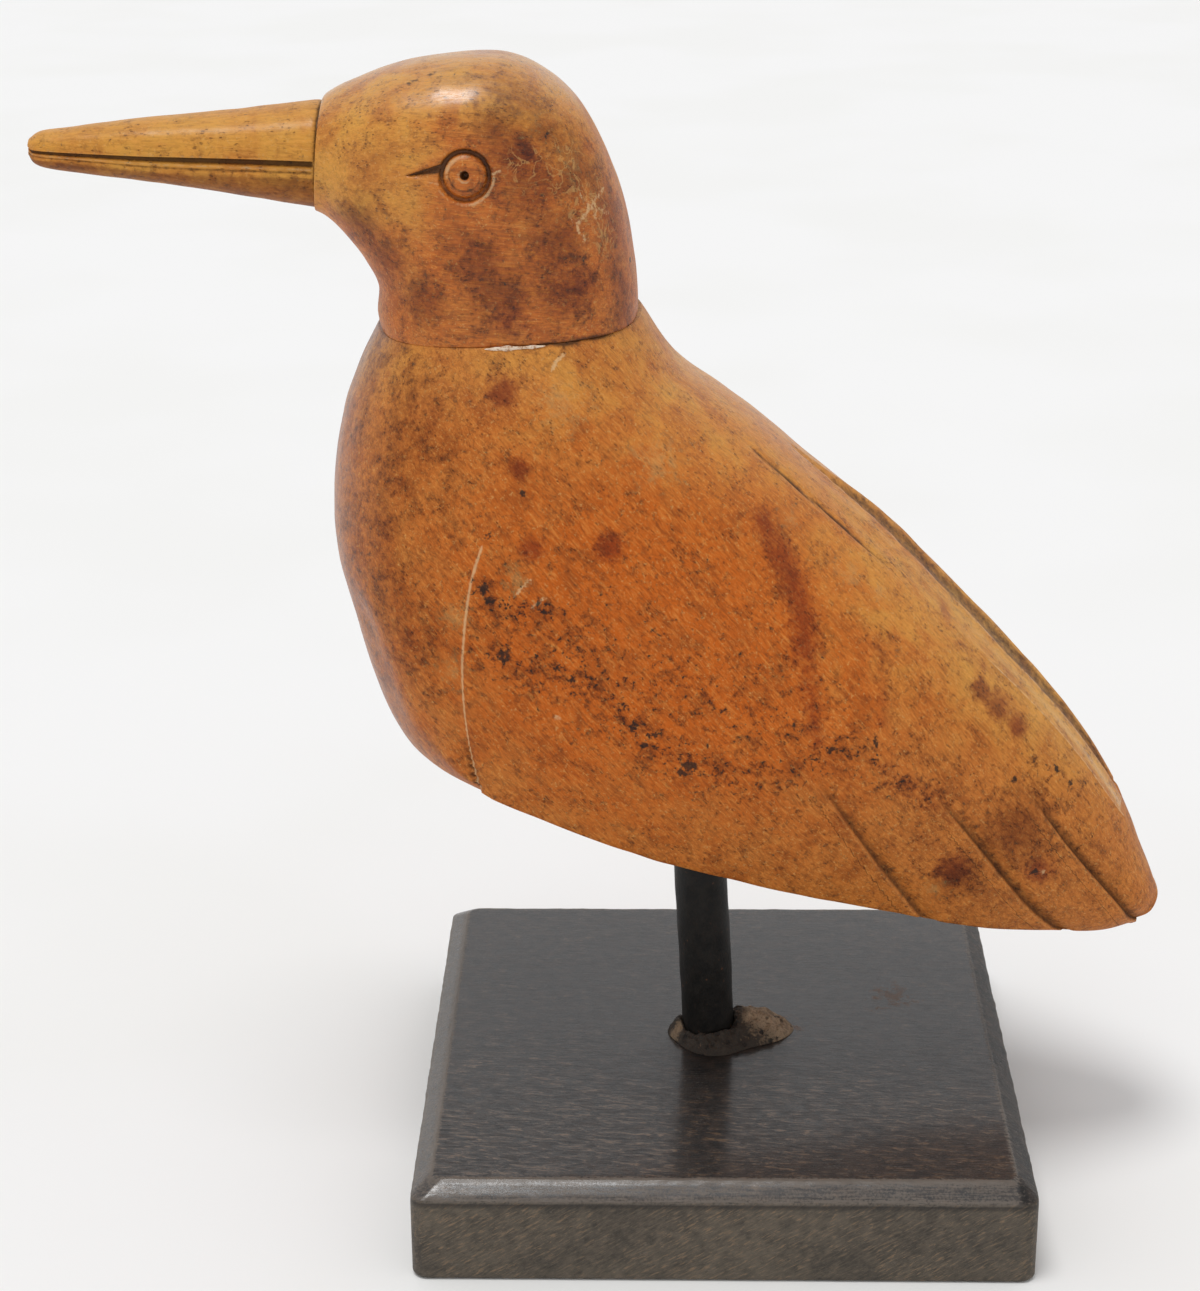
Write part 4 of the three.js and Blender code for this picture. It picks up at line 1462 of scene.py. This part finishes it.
@dataclass
class BirdHead:
    """Neck, head and beak, carved as one piece and glued on the body.

    mouth is the mouth's line on the side view. lip holds the depths of the mouth's profile at distances
    down from that line.
    """

    joint: Joint = field(default_factory=Joint)
    eye: Eye = field(default_factory=Eye)
    head_rows: int = 196
    beak_rows: int = 110
    ring: int = 304
    beak_bulge: float = 0.3 * MM
    beak_step_span: float = 45.0
    mouth: Marks = ((-62.4, 171.9), (-75.7, 172.1), (-90.3, 172.2), (-107.2, 172.6))
    lip: tuple = (
        (-0.45, -0.12, 0.08, 0.75, 1.0, 1.5, 1.8, 2.5),
        (0.0, 0.06, -0.90, -0.70, -0.26, -0.26, -0.40, 0.0),
    )

    def build(self, wood: bpy.types.Material) -> bpy.types.Object:
        """Makes the head.

        Args:
            wood: its finish.

        Returns:
            The piece.
        """
        head, beak = CarvedForm(HEAD_SECTIONS), CarvedForm(BEAK_SECTIONS)
        eye_share = float(head.find(*(np.array(self.eye.place) * MM))[0][0])

        def head_fineness(t: Array) -> Array:
            """More rows at the eye and at both ends."""
            return 1 + 2.2 * hump(t - eye_share, 0.11) + 2 * hump(t, 0.02) + 3 * hump(1 - t, 0.03)

        def beak_fineness(t: Array) -> Array:
            """More rows at both ends."""
            return 1 + 2 * hump(t, 0.02) + 1.5 * hump(1 - t, 0.1)

        head_shares = head.even_shares(self.head_rows, head_fineness)
        beak_shares = beak.even_shares(self.beak_rows, beak_fineness)
        angles = head.even_angles(self.ring, self._fineness)
        head_grid = head.points(head_shares[:, None], angles[None])
        head_grid[..., 2] += self.joint.gap * MM * hump(head_shares, 0.02)[:, None]
        beak_grid = beak.points(beak_shares[:, None], angles[None])
        rings, tip = dome(beak_grid[-1], beak_grid[-4], self.beak_bulge, (25, 50, 70, 82))
        beak_grid = np.concatenate([beak_grid, rings])
        surface = Surface.on(np.concatenate([head_grid, beak_grid]))
        surface.normals = np.concatenate([grid_normals(head_grid), grid_normals(beak_grid)])
        on_beak = (np.arange(len(surface.points)) >= len(head_grid))[:, None]
        skull = FlankCarver(head, surface, seed=31)
        surface.swell(np.where(on_beak, 0.07, 0.14), 5, 14, 34)
        surface.swell(0.03, 6, 4, 9)
        self.eye.carve(surface, skull)
        self._beak_step(surface, head_shares, beak_shares, angles)
        self._mouth(surface, FlankCarver(beak, surface, seed=41), on_beak, tip)
        self.joint.wear_rim(surface, self.joint.over(surface.points), 23, (1.04, 0.52), 0.5)
        skull.stain(HEAD_STAINS)
        self._patina_and_painted_light(surface, on_beak)
        return dress(surface.piece("bird_head_carved", tip), wood, Slot.WOOD, "bird_head")

    @staticmethod
    def _fineness(angle: Array) -> Array:
        """Most points on the level of the eyes and the mouth."""
        level = np.abs(np.abs(angle - np.pi) - 0.5 * np.pi)
        return 1 + 2.6 * hump(level, 0.16) + 0.8 * hump(level, 0.45)

    def _beak_step(self, surface: Surface, head_shares: Array, beak_shares: Array, angles: Array) -> None:
        """A cut round the beak's base that fades under the chin, with a darker colour in it and a pale line
        on the head's side.

        Args:
            surface: what is carved.
            head_shares: share along the head of its rows.
            beak_shares: share along the beak of its rows, without the dome.
            angles: angle of each point of a row.
        """
        full = ease(0.12 * np.pi, 0.42 * np.pi, np.abs(angles - np.pi))[None]
        before, after = (1 - head_shares) * self.beak_step_span, beak_shares * self.beak_step_span

        def ends(head_side: Array, beak_side: Array) -> Array:
            """A value of both sides' rows spread over the surface, with 0 on the dome."""
            rest = np.zeros(len(surface.points) - len(before) - len(after))
            return np.concatenate([head_side, beak_side, rest])[:, None] * full

        surface.relief -= ends(0.35 * np.exp(-before / 0.5), 0.45 * np.exp(-after / 0.5))
        surface.add("cut", ends(0.8 * np.exp(-before / 0.35), 1.1 * np.exp(-after / 0.4)))
        surface.add("worn", ends(0.45 * hump(before - 0.9, 0.5), np.zeros(len(after))))

    def _mouth(self, surface: Surface, carver: FlankCarver, on_beak: Array, tip: Array) -> None:
        """The mouth line: an undercut upper lip, a groove that gets shallower downwards, and a ledge.

        It runs round the tip, where it is about half as large.

        Args:
            surface: what is carved.
            carver: measures the surface's places from lines on the flanks.
            on_beak: true on the rows of the beak.
            tip: the point that closes the tip's dome.
        """
        line = carver.line(self.mouth, steps=90)
        found = carver.both(np.vstack([line, tip + [0, 0, 0.6 * MM]]), 8)
        size = 1 - 0.5 * ease(0.35, 1.0, found.share)
        down = np.where(found.away < FAR, -found.side / size, -FAR)
        full = ease(0.0, 0.02, found.share) * on_beak
        surface.relief += np.interp(down, *self.lip) * size * full
        # Painted shadow under the upper lip's overhang, and painted shade below the ledge.
        surface.add("cut", full * np.interp(down, [-0.1, 0.06, 0.7, 0.98], [0, 1.25, 1.05, 0.0]))
        surface.add("cut", 0.62 * full * hump(down - 1.85, 0.28))
        # Painted highlights on the upper lip's edge and on the ledge.
        surface.add("worn", 0.3 * full * hump(down + 0.25, 0.2))
        surface.add("worn", 0.5 * full * hump(down - 1.3, 0.24))
        # Painted shade on the lower beak's underside.
        surface.add("shade", 0.85 * full * ease(1.8, 3.2, down))

    @staticmethod
    def _patina_and_painted_light(surface: Surface, on_beak: Array) -> None:
        """Painted light on faces that look up, on crown and beak, lighter wood on the forehead and polish on
        the crown, over an even warm glow.

        Args:
            surface: what is carved.
            on_beak: true on the rows of the beak.
        """
        x, _, z = np.moveaxis(surface.points / MM, -1, 0)
        up = surface.normals[..., 2]
        # Painted light: lighter on faces that look up, and on the beak's upper faces.
        surface.add("light", 0.95 * ease(0.0, 0.8, up))
        surface.add("light", 0.18 + 0.72 * ease(-36, -54, x) * ease(158, 168, z))
        surface.add("light", 1.15 * on_beak * ease(-0.5, 0.3, up))
        surface.add("glow", 0.42)
        surface.add("polish", 0.95 * ease(0.35, 0.85, up))
        surface.add("polish", 0.22)
        surface.fields["polish"] *= np.where(on_beak, 0.3, 1.0)


@dataclass
class SupportRod:
    """The iron rod from the base into the belly, with a slight lean towards the beak."""

    diameter: float = 9 * MM
    foot_x: float = -1.7 * MM
    lean: float = math.radians(3)
    low: float = 7.2 * MM
    high: float = 68.8 * MM
    base_height: float = 17 * MM
    sides: int = 120
    rows: int = 150

    def axis(self, height: Array) -> Array:
        """Points of the leaning axis at the given heights.

        Args:
            height: heights over the ground.

        Returns:
            The points.
        """
        height = np.asarray(height)
        x = self.foot_x - math.tan(self.lean) * (height - self.base_height)
        return np.stack([x, np.zeros_like(height), height], axis=-1)

    def build(self, iron: bpy.types.Material) -> bpy.types.Object:
        """Makes the rod: circles along the axis with small dents and a rounded arris at each end.

        Args:
            iron: its finish.

        Returns:
            The piece.
        """
        heights = np.linspace(self.low, self.high, self.rows)
        _, ring = circle(self.sides)
        centre = self.axis(heights)[:, None]
        end = np.minimum(heights - self.low, self.high - heights)[:, None] / MM
        radius = self.diameter / 2 - 0.5 * MM * hump(end, 0.4)
        dents = 0.05 * waves(centre + ring * radius[..., None], 51, 3, 12) - 0.03
        points = centre + ring * (radius + dents * MM)[..., None]
        piece = ring_mesh("support_rod_iron", points, {}, self.axis(np.array([self.low, self.high])))
        return dress(piece, iron, Slot.IRON, "support_rod")


class Zone(Enum):
    """Stretches of the base block's profile, from the socket's floor out and down."""

    SOCKET = 0
    TOP = 1
    OUTER = 2
    UNDER = 3


@dataclass
class BaseBlock:
    """The square block with its chamfered top, soft worn edges and the socket for the rod.

    straight is the share of each half side that runs straight before the corner bends.
    """

    side: float = 100 * MM
    height: float = 17 * MM
    corner: float = 2.5 * MM
    foot_rounding: float = 0.8 * MM
    chamfer_in: float = 3.25 * MM
    chamfer_down: float = 2.5 * MM
    socket_radius: float = 4.8 * MM
    socket_floor: float = 6.7 * MM
    count: int = 480
    straight: float = 0.44

    def _outlines(self, profile: Array, angle: Array) -> Array:
        """Rounded square outlines: corners of constant radius about points set in from the sides.

        Args:
            profile: how far each outline is set in, and its height.
            angle: 0 to 2 pi; a quarter runs from the middle of one side round a corner to the next.

        Returns:
            The outlines' points, one row for each outline.
        """
        quarter = np.floor(angle / (np.pi / 2))
        inside = angle / (np.pi / 2) - quarter
        before = np.clip(inside / self.straight, 0, 1)[:, None]
        after = np.clip((inside - 1) / self.straight + 1, 0, 1)[:, None]
        bend = np.clip((inside - self.straight) / (1 - 2 * self.straight), 0, 1)
        turn, facing = (quarter + bend) * np.pi / 2, quarter * np.pi / 2
        start = np.stack([np.cos(facing), np.sin(facing)], axis=-1)
        stop = np.stack([-np.sin(facing), np.cos(facing)], axis=-1)
        reach = (self.side / 2 - profile[:, 0] - self.corner)[:, None, None]
        corner = np.stack([np.cos(turn), np.sin(turn)], axis=-1)
        flat = reach * (start * (1 - after) + stop * before) + self.corner * corner
        height = np.broadcast_to(profile[:, 1, None, None], (len(profile), len(angle), 1))
        return np.concatenate([flat, height], axis=-1)

    def build(self, wood: bpy.types.Material, rod: SupportRod) -> bpy.types.Object:
        """Makes the block: one profile from the socket's floor out over the top and down to the underside.

        On the top face the outline changes from the socket's circle to the rounded square.

        Args:
            wood: its finish.
            rod: the rod whose socket it has.

        Returns:
            The piece.
        """
        angle, ring = circle(self.count)
        wall = np.linspace(self.socket_floor, self.height, 14)
        socket = rod.axis(wall)[:, None] + ring * self.socket_radius
        top_edge = self._outlines(np.array([[self.chamfer_in, self.height]]), angle)[0]
        shares = np.linspace(0, 1, 92)[1:, None, None] ** 0.85
        top = socket[-1] + (top_edge - socket[-1]) * shares
        outer = self._outlines(self._profile(), angle)
        under = outer[-1] * [1, 1, 0] * np.linspace(1, 0.02, 24)[1:, None, None]
        parts = dict(zip(Zone, (socket, top, outer, under)))
        zones = np.concatenate([np.full(len(part), zone.value) for zone, part in parts.items()])
        points, fields = self._wear(np.concatenate(list(parts.values())), zones[:, None])
        ends = rod.axis(self.socket_floor), np.zeros(3)
        piece = ring_mesh("base_block_worn", points, fields, ends)
        return dress(piece, wood, Slot.BASE, "base_block")

    def _profile(self) -> Array:
        """Inset and height from the top edge down the chamfer and the side to the underside.

        Returns:
            One row for each outline: its inset and its height.
        """
        drop = np.linspace(0, 1, 14)[1:]
        chamfer = [self.chamfer_in * (1 - drop), self.height - self.chamfer_down * drop]
        down = np.linspace(self.height - self.chamfer_down, self.foot_rounding, 34)[1:]
        turn = np.linspace(0, np.pi / 2, 7)[1:]
        foot = [self.foot_rounding * (1 - np.cos(turn)), self.foot_rounding * (1 - np.sin(turn))]
        return np.hstack([chamfer, [np.zeros_like(down), down], foot]).T

    def _wear(self, points: Array, zones: Array) -> tuple[Array, dict[str, Array]]:
        """Softens the edges, adds small dents, and gives the values that the finish reads.

        Args:
            points: the block's grid.
            zones: the zone of each row.

        Returns:
            The moved points and the values by name.
        """
        x, y, z = np.moveaxis(points / MM, -1, 0)
        side, height = self.side / MM, self.height / MM
        out = side / 2 - np.maximum(np.abs(x), np.abs(y))
        from_top = out - self.chamfer_in / MM
        above_low = z - height + self.chamfer_down / MM
        top_edge = hump(np.hypot(from_top, z - height), 0.6)
        low_edge = hump(np.hypot(out, above_low), 0.7)
        outside = (zones == Zone.TOP.value) | (zones == Zone.OUTER.value)
        on_top = zones == Zone.TOP.value
        uneven = waves(points, 61, 9, 30)
        bite = np.clip(0.5 + 0.2 * uneven + 0.2 * waves(points, 62, 1.6, 4), 0, 1.0)
        inward = unit(np.array([0, 0, 0.4 * self.height]) - points)
        dent = (0.22 * (top_edge + low_edge) * bite + 0.02 * np.abs(uneven)) * outside
        moved = points + inward * (dent * MM)[..., None]
        moved[..., 2] = np.where(zones == Zone.UNDER.value, 0.0, moved[..., 2])
        on_side = ease(0.3, -0.2, above_low)
        chamfer = (from_top < 0.1) * (1 - on_side)
        worn = 0.75 * top_edge + 0.45 * low_edge + 0.48 * chamfer
        scuff = 0.8 * hump(np.hypot(x - 31, y - 13), 6) + 0.6 * hump(np.hypot(x - 13, y - 3), 5)
        fields = {
            "side": on_side * (zones < Zone.UNDER.value),
            # Less of the pale colour on the right side: painted shade on that side.
            "worn": worn * outside * (1 - 0.8 * ease(46.2, 47.2, x)),
            "shadow": hump(above_low + 0.55, 0.4) * outside,
            "scuff": scuff * on_top,
            "near": ease(10, -45, y) * on_top,
            "dull": 1.1 * ease(46.4, 47.2, x) * outside,
        }
        return moved, fields


@dataclass
class FootFiller:
    """The rough filler round the rod's foot: a low ring that swells into lumps, in millimetres.

    lumps holds each lump's direction and spread in degrees, its reach and its rise.
    """

    ring: float = 1.6
    rise: float = 1.5
    lift: float = 0.05
    gap: float = 0.02
    tuck: float = 0.3
    lumps: tuple = ((8, 34, 8.5, 2.6), (-75, 55, 2.4, 0.9), (178, 24, 1.0, 1.6))
    around: int = 220
    across: int = 60

    def build(self, filler: bpy.types.Material, rod: SupportRod) -> bpy.types.Object:
        """Makes the filler: a closed profile at each angle, which swells in bells at the lumps.

        Args:
            filler: its finish.
            rod: the rod that it goes round.

        Returns:
            The piece.
        """
        angle, heading = circle(self.around)
        degrees = np.degrees(angle)
        reach, rise = np.full(self.around, self.ring), np.full(self.around, self.rise)
        for at, wide, out, up in self.lumps:
            swell = hump(self._turned(degrees, at), wide)
            reach, rise = reach + out * swell, rise + up * swell
        share = np.linspace(0, 1, self.across)[:, None]
        height = rise * np.interp(share, [0, 0.12, 0.25, 0.55, 0.85, 1], [0.9, 1.0, 1.0, 0.75, 0.35, 0.0])
        foot = rod.axis(rod.base_height) + np.array([0, 0, self.lift * MM])
        inner = rod.diameter / 2 + self.gap * MM
        radius = inner + reach * share * MM
        points = foot + heading * radius[..., None]
        lump = 0.28 * waves(points, 71, 1.6, 5) + 0.12 * waves(points, 72, 0.7, 1.6)
        points[..., 2] += np.maximum(height + lump * np.minimum(1, 5 * (1 - share)), 0) * MM
        wall = foot + heading[None] * inner
        base = foot + heading[None] * (radius[-1:] - self.tuck * MM)[..., None]
        whole = np.ones((1, self.around))
        stained = np.concatenate([whole, self._stained(degrees, share), whole])
        piece = self._closed(np.concatenate([wall, points, base]), stained)
        return dress(piece, filler, Slot.FILLER, "rod_foot_filler")

    @staticmethod
    def _turned(degrees: Array, middle: float) -> Array:
        """Angles as seen from a direction, from -180 to 180."""
        return (degrees - middle + 540) % 360 - 180

    def _stained(self, degrees: Array, share: Array) -> Array:
        """How dark the filler is: stained all round but for the lump on the right and a small wedge left.

        Args:
            degrees: directions from the rod.
            share: share of the profile's way out.

        Returns:
            The value, from 0 to 1.
        """
        bare = 1.3 * hump(self._turned(degrees, 8), 30) + 0.8 * hump(self._turned(degrees, 200), 14)
        near = 1 - ease(0.05, 0.3, share)
        return np.clip(1 - np.clip(bare, 0, 1) * (1 - 0.7 * near), 0, 1)

    @staticmethod
    def _closed(loop: Array, stained: Array) -> bpy.types.Object:
        """A ring-shaped mesh, closed both ways round.

        Args:
            loop: points, one row for each step of the profile.
            stained: value of each point.

        Returns:
            The piece.
        """
        rows, count = loop.shape[:2]
        index = np.arange(rows * count).reshape(rows, count)
        right, above = np.roll(index, -1, axis=1), np.roll(index, -1, axis=0)
        quads = np.stack([index, right, np.roll(right, -1, axis=0), above], axis=-1).reshape(-1, 4)
        return make_piece("rod_foot_filler_rough", loop.reshape(-1, 3), [quads], {"stained": stained})


@dataclass
class NeckGlue:
    """A thin bead of white glue pressed out of the neck joint on the left side, in millimetres."""

    start_x: float = -36.8
    end_x: float = -27.6
    width: float = 0.46
    proud: float = 0.34
    shift: float = 0.12

    def build(self, glue: bpy.types.Material, joint: Joint) -> bpy.types.Object:
        """Makes the bead: an oval section carried along the joint's rim, thin at both ends.

        Args:
            glue: its finish.
            joint: the joint that it stands in.

        Returns:
            The piece.
        """
        x = np.linspace(self.start_x, self.end_x, 90)
        path = CarvedForm(BODY_SECTIONS).place(x * MM, (joint.level(x) - self.shift) * MM)
        share = np.linspace(-1, 1, len(x))
        size = np.sqrt(np.clip(1 - share**2, 0.0, 1)) * (0.8 + 0.3 * waves(path, 81, 1.5, 4))
        size = np.clip(size, 0.05, 1.2)[:, None, None]
        _, ring = circle(20)
        up = np.array([0.0, 0.0, 1.0])
        out = unit(np.cross(up, unit(np.gradient(path, axis=0))))
        out = (out * -np.sign(out[:, 1:2]))[:, None]
        bulge = out * (self.proud * ring[:, :1]) + up * (self.width * ring[:, 1:2])
        points = path[:, None] + (out * self.shift + bulge * size) * MM
        piece = ring_mesh("neck_glue", points, {}, (points[0].mean(axis=0), points[-1].mean(axis=0)))
        return dress(piece, glue, Slot.FILLER)


@dataclass
class Studio:
    """Floor, soft light and the camera, which looks down on the left flank.

    pitch is the camera's turn below the level and yaw its turn from +Y. The sky's brightness falls from
    full at the horizon to overhead at the height fades_by of the view's direction.
    """

    camera_place: tuple[float, float, float] = (-0.009644, -0.424008, 0.259707)
    pitch: float = math.radians(21.845)
    yaw: float = math.radians(-1.423)
    roll: float = math.radians(0.449)
    focal_share: float = 2769.484 / 1291
    sensor: float = 36.0
    key_direction: tuple[float, float, float] = (-0.169, -0.142, 0.975)
    key_spread: float = math.radians(22)
    key_strength: float = 1.3
    sky: float = 0.82
    overhead: Colour = (0.74, 0.74, 0.755)
    fades_by: float = 0.9
    floor_reach: float = 6.0

    def build(self) -> None:
        """Makes the whole studio."""
        self._floor()
        self._surroundings()
        self._key()
        self._camera()
        view = bpy.context.scene.view_settings
        view.view_transform = "Standard"
        view.look = "None"

    def _floor(self) -> None:
        """A wide flat floor at the base's underside."""
        reach = self.floor_reach
        corners = [(-reach, -reach, 0), (reach, -reach, 0), (reach, reach, 0), (-reach, reach, 0)]
        mesh = bpy.data.meshes.new("floor")
        mesh.from_pydata(corners, [], [(0, 1, 2, 3)])
        mesh.materials.append(PaleFloor().build())
        self._link("floor", mesh)

    def _surroundings(self) -> None:
        """White surroundings, a little brighter at the horizon than above."""
        world = bpy.data.worlds.new("soft_white")
        bpy.context.scene.world = world
        world.use_nodes = True
        nodes, links = world.node_tree.nodes, world.node_tree.links
        background = next(n for n in nodes if n.type == "BACKGROUND")
        kinds = "ShaderNodeTexCoord", "ShaderNodeSeparateXYZ", "ShaderNodeValToRGB"
        where, split, ramp = (nodes.new(kind) for kind in kinds)
        links.new(where.outputs["Generated"], split.inputs[0])
        links.new(split.outputs["Z"], ramp.inputs[0])
        links.new(ramp.outputs[0], background.inputs["Color"])
        horizon, above = ramp.color_ramp.elements
        horizon.color = (1.0, 1.0, 1.0, 1.0)
        above.color = (*self.overhead, 1.0)
        above.position = self.fades_by
        background.inputs["Strength"].default_value = self.sky

    def _key(self) -> None:
        """A soft light from overhead, a little from the front and from the beak's side."""
        lamp = bpy.data.lights.new("key", "SUN")
        lamp.angle = self.key_spread
        lamp.energy = self.key_strength
        heading = Vector(self.key_direction).normalized()
        self._link("key", lamp).rotation_euler = heading.to_track_quat("Z", "Y").to_euler()

    def _camera(self) -> None:
        """The camera, from its pitch, yaw and roll."""
        level = math.cos(self.pitch)
        forward = np.array([math.sin(self.yaw) * level, math.cos(self.yaw) * level, -math.sin(self.pitch)])
        right = np.array([math.cos(self.yaw), -math.sin(self.yaw), 0.0])
        down = np.cross(forward, right)
        c, s = math.cos(self.roll), math.sin(self.roll)
        right, down = c * right + s * down, c * down - s * right
        camera = bpy.data.cameras.new("view")
        camera.sensor_width = self.sensor
        camera.sensor_fit = "AUTO"
        camera.lens = self.focal_share * self.sensor
        camera.clip_start = 0.01
        holder = self._link("view", camera)
        turn = Matrix((right, -down, -forward)).transposed().to_4x4()
        holder.matrix_world = Matrix.Translation(Vector(self.camera_place)) @ turn
        bpy.context.scene.camera = holder

    @staticmethod
    def _link(name: str, data: bpy.types.ID) -> bpy.types.Object:
        """A new object in the scene.

        Args:
            name: the object's name.
            data: its mesh, lamp or camera.

        Returns:
            The object.
        """
        holder = bpy.data.objects.new(name, data)
        bpy.context.scene.collection.objects.link(holder)
        return holder


def main() -> None:
    """Builds the studio and all pieces in order."""
    logging.basicConfig(level=logging.INFO, format="%(name)s: %(message)s")
    Studio().build()
    joint = Joint()
    rod = SupportRod()
    BirdBody(joint).build(CarvedWood("body_wood", grain_turn=49, fibre=1.5).build())
    BirdHead(joint).build(CarvedWood("head_wood", grain_turn=4, fibre=3.2).build())
    NeckGlue().build(WhiteGlue().build(), joint)
    rod.build(BlackIron().build())
    BaseBlock().build(DarkBaseWood().build(), rod)
    FootFiller().build(RoughFiller().build(), rod)


if __name__ == "__main__":
    main()
